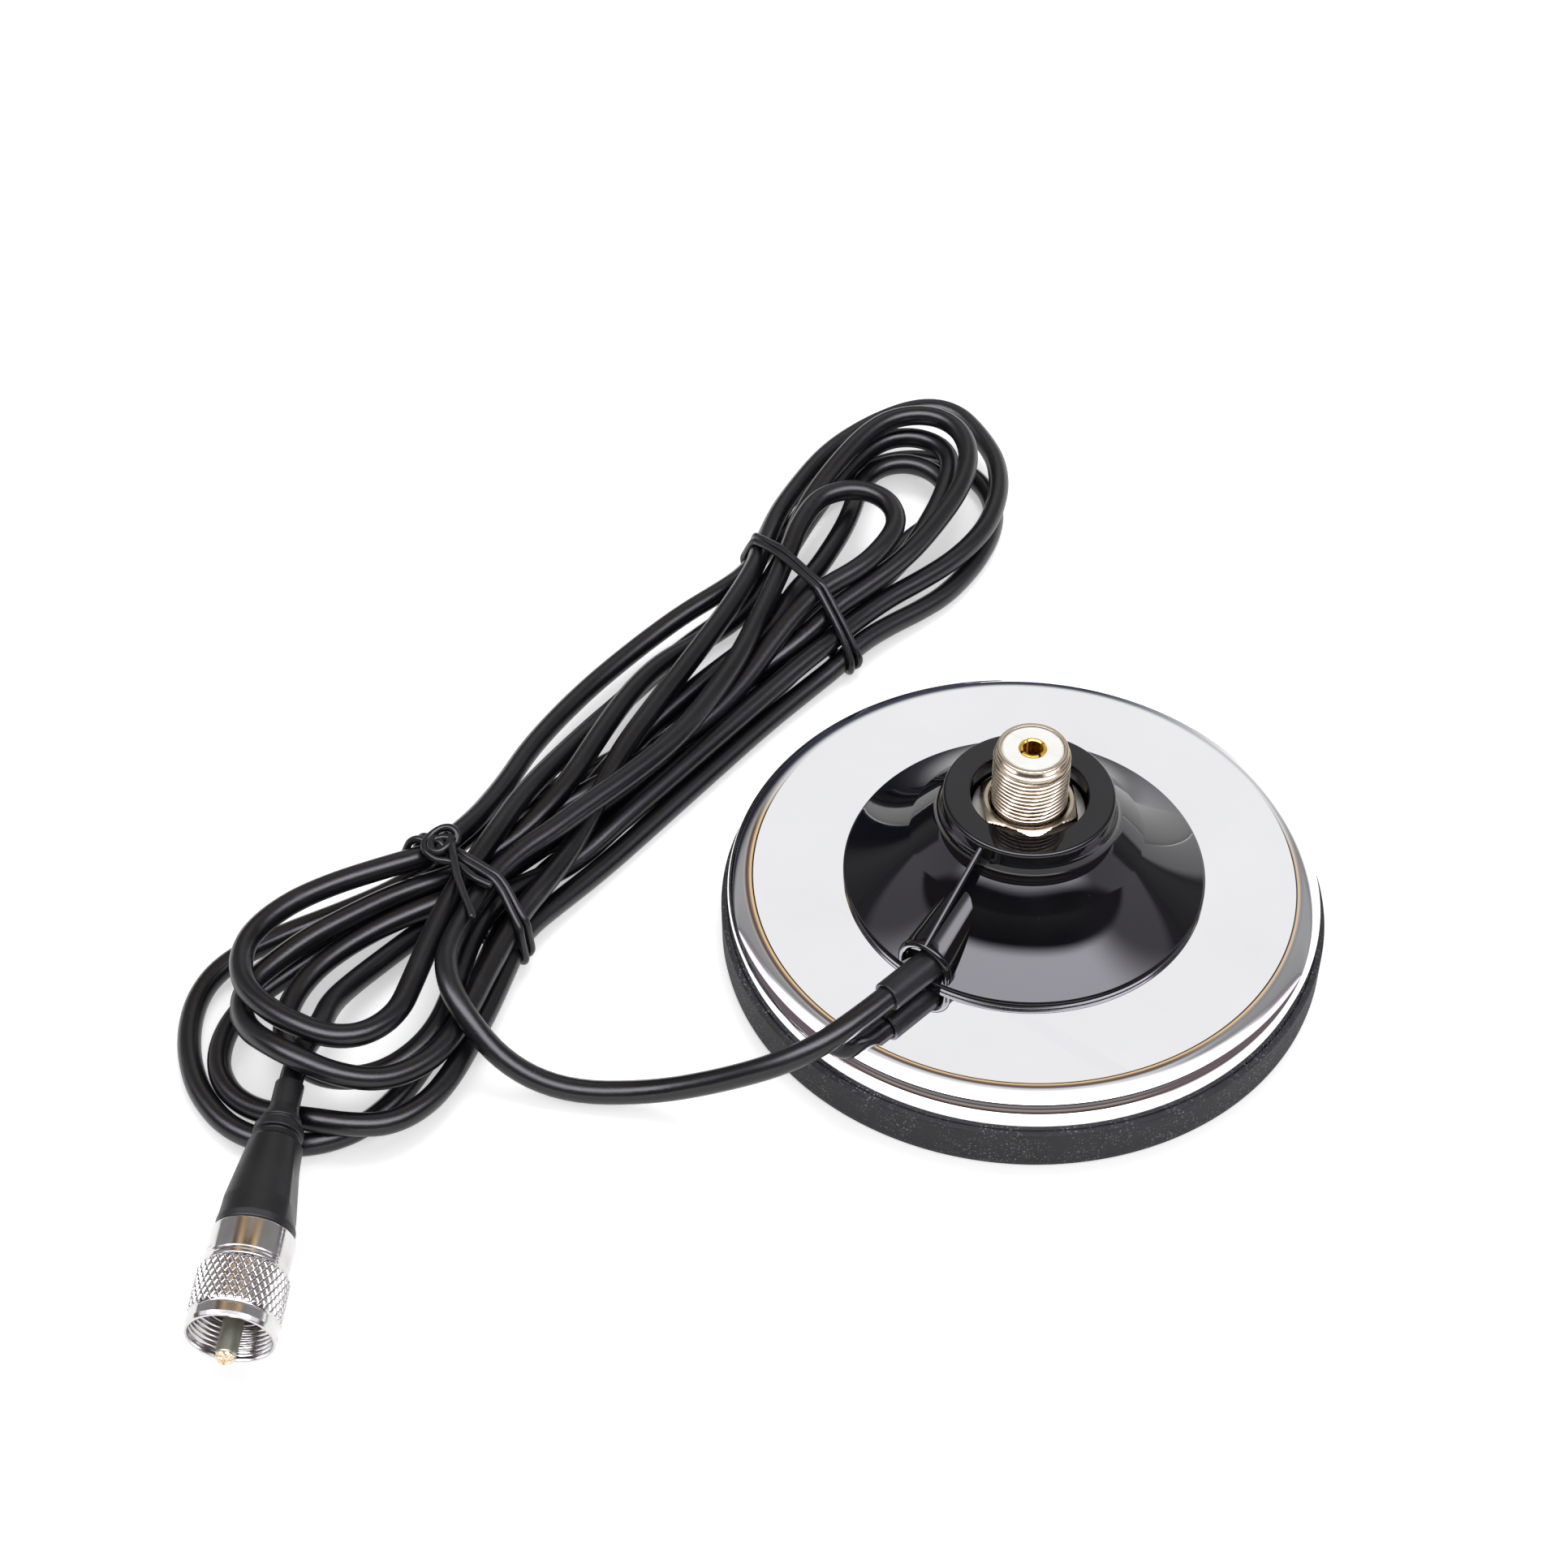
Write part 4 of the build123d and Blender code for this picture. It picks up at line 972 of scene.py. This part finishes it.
class MOUNT_OT_ties(Operator):
    """Winds the two wire ties around the bundle"""
    bl_idname = "mount.ties"
    bl_label = "Wire ties"

    def execute(self, context):
        sizes = context.scene.mount_coax
        line = coax_line()
        r, gap = sizes.tie_radius / MM, sizes.tie_gap / MM
        reach = sizes.coax_radius / MM + r
        for name, middle, way, node, bow in (
                ("tie_near_plug", (-95.8, -71.8, 9.0), (0.0, 1.0, 0.0), "lower_tie", 3.4),
                ("tie_far", (-97.4, 50.0, 8.0), (0.30, 0.954, 0.0), "upper_tie", 0.0)):
            middle, way = np.array(middle), np.array(way)
            way = way / np.linalg.norm(way)
            shells = []
            for k in (-0.5, 0.5):
                loop = tie_outline(line, middle + way * gap * k, way, reach)
                sway = 0.35 * np.sin(2 * around(len(loop)) + k * 3)
                height, across = (loop[:, 2] - 5) / 12, (loop[:, 0] + 96) / 22
                arc = np.clip(height, 0, 1) * np.clip(1 - across ** 2, 0, 1)
                sway += bow * arc * arc * (3 - 2 * arc)
                shells.append(tube(loop + sway[:, None] * way, r, 12, True))
            if node == "lower_tie":
                shells += self.knot(r)
            piece(name, shells, "tie_black", node)
        return {"FINISHED"}

    def knot(self, r):
        """The lower tie's loose ends, lying on the strands: a doubled wire that runs over to the
        bundle's other side, a small round loop, and a free end."""
        runs = (
            [(-100.6, -67.9, 20.2), (-102.3, -67.2, 20.6), (-104.0, -68.0, 20.3),
             (-104.9, -69.2, 20.2), (-104.4, -70.8, 20.2), (-102.8, -71.6, 20.1),
             (-101.3, -70.9, 20.4), (-100.9, -69.2, 20.9), (-101.5, -67.2, 21.0)],
            [(-87.6, -71.2, 18.9), (-91.3, -71.7, 19.2), (-95.7, -71.1, 19.2),
             (-98.6, -71.3, 19.2), (-101.4, -72.4, 19.1), (-104.5, -72.2, 19.3),
             (-106.4, -70.6, 19.4), (-106.6, -68.0, 19.8), (-105.4, -65.8, 20.6),
             (-103.5, -64.9, 21.0), (-101.8, -65.2, 20.4), (-101.0, -66.6, 19.6)],
            [(-103.8, -66.4, 19.8), (-101.6, -67.6, 20.4), (-99.9, -69.0, 20.7),
             (-98.0, -70.6, 20.6), (-94.2, -73.7, 19.9), (-89.8, -76.6, 19.2),
             (-86.8, -78.4, 18.8), (-84.9, -79.7, 18.5)],
            [(-105.6, -69.4, 19.2), (-103.4, -68.9, 20.1), (-101.6, -69.4, 19.5)],
            [(-104.6, -67.2, 19.4), (-103.0, -69.6, 19.7), (-102.4, -71.0, 19.4)],
        )
        return [tube(smooth_path(run, 14 * len(run)), r, 12) for run in runs]


class MOUNT_OT_plug(Operator):
    """Builds the plug: coupling ring, body, insulator, pin and boot"""
    bl_idname = "mount.plug"
    bl_label = "Plug"

    def execute(self, context):
        sizes = context.scene.mount_plug
        back = PLUG_TAIL - PLUG_MOUTH
        back = back / np.linalg.norm(back)
        piece("plug_ring", [self.ring(sizes, back)], "plug_nickel", "coupling_ring",
              body="ring", crease=50.0)
        body = rounded([
            (5.62, 6.1, 0.2), (6.9, 6.1, 0.3), (6.9, 12.0), (6.9, 13.75, 0.1), (8.3, 13.75, 0.3),
            (8.3, 14.6), (8.22, 14.9, 0.1), (8.22, 15.3, 0.1), (8.3, 15.6), (8.3, 21.9, 0.35),
            (7.4, 22.15, 0.2), (5.7, 22.3, 0.1), (5.62, 22.0)], closed=True, steps=5)
        piece("plug_band", [turned_on(PLUG_MOUTH, back, body, 120)], "plug_nickel",
              "plug_body")
        face = rounded([
            (2.02, 6.6, 0.2), (5.58, 6.6, 0.3), (5.58, 15.5), (2.02, 15.5)], closed=True, steps=4)
        piece("plug_face", [turned_on(PLUG_MOUTH, back, face, 72)], "plug_insulator",
              "plug_insulator")
        self.pin(sizes, back)
        self.boot(back)
        return {"FINISHED"}

    def ring(self, sizes, back):
        """The coupling ring: the knurl's radius is R - depth where either of two crossed waves,
        which run round the ring and along it, has its groove; a thread inside the mouth."""
        top, depth, count = sizes.ring_radius / MM, sizes.knurl_depth / MM, sizes.knurl_count
        a = around(count * 12)[None]
        low, high = 3.6, 13.3
        t = np.linspace(low, high, 76)[:, None]
        lean = t * count / (2 * math.pi * top) * 2 * math.pi * 0.62 / 2
        one, two = (
            np.abs(((a * count / (2 * math.pi) + s * lean / math.pi) % 1.0) * 2 - 1)
            for s in (1, -1))
        groove = np.clip(1 - 3.8 * np.minimum(one, two), 0, 1)
        ends = np.clip((t - low) / 0.5, 0, 1) * np.clip((high - t) / 0.5, 0, 1)
        knurl = (top - 0.05 - depth * groove * ends - 0.25 * (1 - ends), t + 0 * a, a + 0 * t)
        lip = rounded([
            (8.05, 0.3), (8.15, 0.02, 0.1), (top - 0.35, 0.0, 0.45), (top - 0.12, 1.0, 0.3),
            (top - 0.12, 2.9, 0.2), (top - 0.45, 3.15, 0.15), (top - 0.4, 3.5)], steps=6)
        back_end = rounded([
            (top - 0.35, 13.4), (top - 0.5, 13.62, 0.15), (7.05, 13.62, 0.1), (7.05, 12.2, 0.1),
            (8.3, 11.7, 0.1), (8.25, 11.4)], steps=5)
        thread = thread_rows(0.6, 11.2, 7.97, -0.42, 1.058, a, per_turn=9, fade=0.8)
        inside = [rows[::-1] for rows in thread]
        rows = joined([rows_of(lip, a), knurl, rows_of(back_end, a), inside])
        return shell(along(PLUG_MOUTH, back, *rows), wrap_rows=True)

    def pin(self, sizes, back):
        """The pin, a tube with a rounded nose, and the ragged bead of solder on its end, whose
        radius carries three crossed sine waves."""
        r = sizes.pin_radius / MM
        profile = rounded([
            (0.0, -3.6), (r, -3.6, 0.3), (r, 15.6, 0.2), (0.0, 15.6)], steps=5)
        piece("plug_pin_metal", [turned_on(PLUG_MOUTH, back, profile, 48, False)], "pin_metal",
              "plug_pin")
        a = around(56)[None]
        s = np.linspace(0.04, 1, 26)[:, None]
        lumps = (1 + 0.16 * np.sin(3 * a + 9 * s) * s + 0.11 * np.sin(5 * a - 14 * s)
                 + 0.06 * np.sin(9 * a + 21 * s))
        bead = 1.55 * np.sin(math.pi * 0.5 * np.minimum(1.0, s * 1.5)) * lumps * (1.12 - 0.1 * s)
        t = -5.65 + 2.9 * s + 0.16 * np.sin(4 * a + 2) * s
        grid = along(PLUG_MOUTH, back, bead, t, a + 0 * s)
        piece("pin_solder_tip", [shell(grid)], "solder")

    def boot(self, back):
        """The plug's boot: a turned body that tapers to the neck, with two flats pressed in at
        its sides, two ring grooves and the soft neck."""
        profile = rounded([
            (5.95, 22.35), (7.5, 22.4, 0.5), (7.8, 24.0, 1.0), (7.75, 28.5, 5.0), (6.6, 36.0, 9.0),
            (5.45, 43.2, 0.8), (4.3, 44.1, 0.25), (4.3, 45.2, 0.25), (5.05, 45.5, 0.3),
            (5.0, 47.2, 0.3), (3.9, 47.6, 0.25), (3.9, 48.3, 0.25), (4.3, 48.7, 0.3),
            (3.6, 50.2, 0.6), (2.98, 52.0, 2.0), (2.95, 57.9, 0.3), (2.5, 57.95), (2.5, 50.0),
            (2.5, 31.0), (5.95, 30.8)], closed=True, steps=6)
        a = around(128)[None]
        r, t, _ = rows_of(profile, a)
        press = np.clip((t - 24.5) / 3.0, 0, 1) * np.clip((42.0 - t) / 4.0, 0, 1) * (r > 5.2)
        width = r * np.cos(a)
        flat = np.sign(width) * np.minimum(np.abs(width), r * (1 - 0.17 * press))
        height = r * np.sin(a)
        reach, turn = np.hypot(flat, height), np.arctan2(height, flat)
        grid = along(PLUG_MOUTH, back, reach, t, turn)
        piece("plug_boot_black", [shell(grid, wrap_rows=True)], "sleeve_black",
              "plug_boot", crease=40.0)


class MOUNT_OT_hidden(Operator):
    """Gives the inner parts of the base their finishes"""
    bl_idname = "mount.hidden"
    bl_label = "Inner parts"

    def execute(self, context):
        for node, name in (
                ("ring_magnet", "ferrite"), ("centre_screw", "zinc_steel"),
                ("spring_washer", "zinc_steel"), ("pillar", "zinc_steel"),
                ("ground_lug", "zinc_steel"), ("coax_entry", "coax_jacket"),
                ("coax_dielectric", "white_insulator"), ("coax_conductor", "bare_copper"),
                ("braid_tail", "bare_copper"), ("coax_plug_end", "coax_jacket")):
            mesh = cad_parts[node].data
            mesh.materials.clear()
            mesh.materials.append(finish(name))
        return {"FINISHED"}


class MOUNT_OT_stage(Operator):
    """Sets the white floor, the soft lights and the camera"""
    bl_idname = "mount.stage"
    bl_label = "Stage"

    def execute(self, context):
        self.floor()
        self.world()
        self.lamp("key", (-0.35, 0.55, 1.3), 0.9, 9.0)
        self.lamp("fill", (0.9, -0.5, 1.1), 0.8, 5.0)
        self.camera(context)
        return {"FINISHED"}

    def floor(self):
        """A pale floor whose lit face reads as white to the camera and in reflections."""
        bpy.ops.mesh.primitive_plane_add(size=8.0, location=(0, 0, 0))
        floor = bpy.context.object
        floor.name = "floor"
        material = bpy.data.materials.new("floor_white")
        material.use_nodes = True
        tree = material.node_tree
        shader = tree.nodes["Principled BSDF"]
        shader.inputs["Base Color"].default_value = (0.86, 0.86, 0.865, 1)
        shader.inputs["Roughness"].default_value = 0.9
        shader.inputs["Specular IOR Level"].default_value = 0.0
        rays = node_of(tree, "LightPath").outputs
        glow_level = 0.46
        seen = calc(tree, "MAXIMUM", rays["Is Camera Ray"], rays["Is Glossy Ray"])
        glow = node_of(tree, "Emission", Strength=calc(tree, "MULTIPLY", seen, glow_level))
        both = tree.nodes.new("ShaderNodeAddShader")
        feed(tree, both.inputs[0], shader.outputs[0])
        feed(tree, both.inputs[1], glow.outputs[0])
        feed(tree, tree.nodes["Material Output"].inputs["Surface"], both.outputs[0])
        floor.data.materials.append(material)

    def world(self):
        """White to the camera, plain to the eye of soft light, and long studio panels in gloss.

        The panels lie side to side over the object. Their place is the angle from the front
        horizon over the top to the far horizon, atan2(height, front + 0.42 side^2) / half a turn.
        """
        world = bpy.data.worlds.new("studio")
        bpy.context.scene.world = world
        world.use_nodes = True
        tree = world.node_tree
        tree.nodes.clear()
        toward, across, beyond = (0.506, -0.862, 0.0), (0.862, 0.506, 0.0), (-0.3553, 0.6053, 0.712)
        gloss_level, soft_level = 12.0, 0.62
        place = node_of(tree, "TexCoord").outputs["Generated"]
        front, side = dot(tree, place, toward), dot(tree, place, across)
        wide = calc(tree, "MULTIPLY", side, side)
        height = node_of(tree, "SeparateXYZ", Vector=place).outputs["Z"]
        bent = calc(tree, "MULTIPLY_ADD", wide, 0.42, front)
        turn = calc(tree, "MULTIPLY", calc(tree, "ARCTAN2", height, bent), 1 / math.pi)
        panels = ramp(tree, turn, [
            (0.0, 0.34, 0.34, 0.34), (0.03, 0.26, 0.25, 0.25), (0.045, 0.0, 0.0, 0.0),
            (0.075, 0.004, 0.003, 0.003), (0.11, 0.018, 0.011, 0.008), (0.15, 0.032, 0.029, 0.029),
            (0.185, 0.005, 0.004, 0.004), (0.225, 0.024, 0.022, 0.022),
            (0.256, 0.008, 0.007, 0.007), (0.275, 0.002, 0.002, 0.003), (0.290, 0.76, 0.74, 0.82),
            (0.43, 0.70, 0.68, 0.76),
            (0.47, 0.14, 0.14, 0.15), (0.52, 0.062, 0.062, 0.064), (0.66, 0.072, 0.072, 0.072),
            (0.70, 0.078, 0.078, 0.079), (0.79, 0.078, 0.078, 0.079), (0.85, 0.052, 0.052, 0.053),
            (0.89, 0.012, 0.012, 0.013), (0.93, 0.005, 0.005, 0.007), (0.99, 0.003, 0.004, 0.010)])
        shade = self.patch(tree, panels["Color"], (0.0, 0.0, 0.0), (
            (wide, 0.04, 0.25, 0.62), (turn, 0.45, 0.52, 1.0)))
        shade = self.patch(tree, shade, (0.012, 0.009, 0.010), (
            (wide, 0.30, 0.66, 0.88), (turn, 0.57, 0.47, 1.0)))
        shade = self.patch(tree, shade, (0.13, 0.13, 0.135), (
            (side, 0.05, 0.5, 1.0), (turn, 0.84, 0.90, 1.0)))
        # Thin rings of black, gold and brown round one far direction, left of the middle only:
        # the cup's rim shows them as lines. Their place is the angle from it in half turns.
        apart = calc(tree, "ARCCOSINE", dot(tree, place, beyond))
        rings = ramp(tree, calc(tree, "MULTIPLY", apart, 1 / math.pi), [
            (0.0, 0, 0, 0, 0), (0.082, 0, 0, 0, 0), (0.088, 0, 0, 0), (0.104, 0, 0, 0),
            (0.110, 0.052, 0.034, 0.015), (0.132, 0.078, 0.057, 0.033),
            (0.150, 0.026, 0.018, 0.014), (0.178, 0.007, 0.005, 0.004),
            (0.200, 0.030, 0.025, 0.023), (0.218, 0.060, 0.057, 0.057, 0)])
        there = calc(
            tree, "MULTIPLY", ranged(tree, front, -0.80, -0.73), ranged(tree, side, 0.55, 0.28))
        shade = blend(tree, calc(tree, "MULTIPLY", there, rings["Alpha"]), shade, rings["Color"])
        gloss = node_of(tree, "Background", Color=shade, Strength=gloss_level)
        soft = node_of(tree, "Background", Color=(1.0, 1.0, 1.0, 1), Strength=soft_level)
        white = node_of(tree, "Background", Color=(1.0, 1.0, 1.0, 1))
        rays = node_of(tree, "LightPath").outputs
        shown = soft.outputs[0]
        for ray, over in (("Is Glossy Ray", gloss), ("Is Camera Ray", white)):
            mix = tree.nodes.new("ShaderNodeMixShader")
            for socket, given in zip(mix.inputs, (rays[ray], shown, over.outputs[0])):
                feed(tree, socket, given)
            shown = mix.outputs[0]
        feed(tree, tree.nodes.new("ShaderNodeOutputWorld").inputs["Surface"], shown)

    def patch(self, tree, colour, other, spans):
        """Mixes another colour in, by the product of two soft steps (value, from, to, share)."""
        steps = [ranged(tree, value, low, high, last=most, kind="SMOOTHSTEP")
                 for value, low, high, most in spans]
        return blend(tree, calc(tree, "MULTIPLY", *steps), colour, (*other, 1.0))

    def lamp(self, name, place, size, power):
        """A square soft lamp that looks at the object and doesn't show in its gloss."""
        light = bpy.data.lights.new(name, "AREA")
        light.size, light.energy = size, power
        lamp = bpy.data.objects.new(name, light)
        place = Vector(place)
        way = Vector((-0.03, -0.03, 0.01)) - place
        turn = way.to_track_quat("-Z", "Y").to_matrix().to_4x4()
        lamp.matrix_world = Matrix.Translation(place) @ turn
        lamp.visible_glossy = False
        bpy.context.scene.collection.objects.link(lamp)

    def camera(self, context):
        """The photograph's own view of the object, 36 mm wide, with a slight roll."""
        camera = bpy.data.objects.new("camera", bpy.data.cameras.new("camera"))
        camera.data.sensor_width, camera.data.lens = 36.0, 64.52
        eye, roll = (0.20631, -0.35181, 0.45468), 0.0116145
        ahead = Vector((-0.42778, 0.55750, -0.71148)).normalized()
        right = Vector((0.79335, 0.60876, 0.0)).normalized()
        down = ahead.cross(right)
        x = right * math.cos(roll) + down * math.sin(roll)
        y = -(down * math.cos(roll) - right * math.sin(roll))
        camera.matrix_world = Matrix((
            *((x[k], y[k], -ahead[k], eye[k]) for k in range(3)), (0, 0, 0, 1)))
        context.scene.collection.objects.link(camera)
        context.scene.camera = camera
        context.scene.view_settings.view_transform = "Standard"


class MOUNT_PT_panel(Panel):
    """Lists the sizes, the colours and the steps"""
    bl_idname = "MOUNT_PT_panel"
    bl_label = "Antenna Mount"
    bl_space_type = "VIEW_3D"
    bl_region_type = "UI"
    bl_category = "Antenna Mount"

    def draw(self, context):
        layout = self.layout
        for name, _ in GROUPS:
            values = getattr(context.scene, name)
            box = layout.box()
            box.label(text=name.split("_")[1].title())
            for key in values.bl_rna.properties.keys():
                if key not in ("rna_type", "name"):
                    box.prop(values, key)
        for step in OPERATORS:
            layout.operator(step.bl_idname)


GROUPS = (
    ("mount_base", MountBaseSizes), ("mount_socket", SocketSizes), ("mount_coax", CoaxSizes),
    ("mount_plug", PlugSizes), ("mount_colours", FinishColours))
OPERATORS = (
    MOUNT_OT_stage, MOUNT_OT_base, MOUNT_OT_cone, MOUNT_OT_socket, MOUNT_OT_sleeve, MOUNT_OT_coax,
    MOUNT_OT_ties, MOUNT_OT_plug, MOUNT_OT_hidden)


def register():
    for name, group in GROUPS:
        bpy.utils.register_class(group)
        setattr(bpy.types.Scene, name, PointerProperty(type=group))
    for item in OPERATORS + (MOUNT_PT_panel,):
        bpy.utils.register_class(item)


def unregister():
    for item in (MOUNT_PT_panel,) + OPERATORS[::-1]:
        bpy.utils.unregister_class(item)
    for name, group in GROUPS[::-1]:
        delattr(bpy.types.Scene, name)
        bpy.utils.unregister_class(group)


def main():
    """Runs every step in order."""
    register()
    for step in OPERATORS:
        getattr(bpy.ops.mount, step.bl_idname.split(".")[1])()


if __name__ == "__main__":
    main()
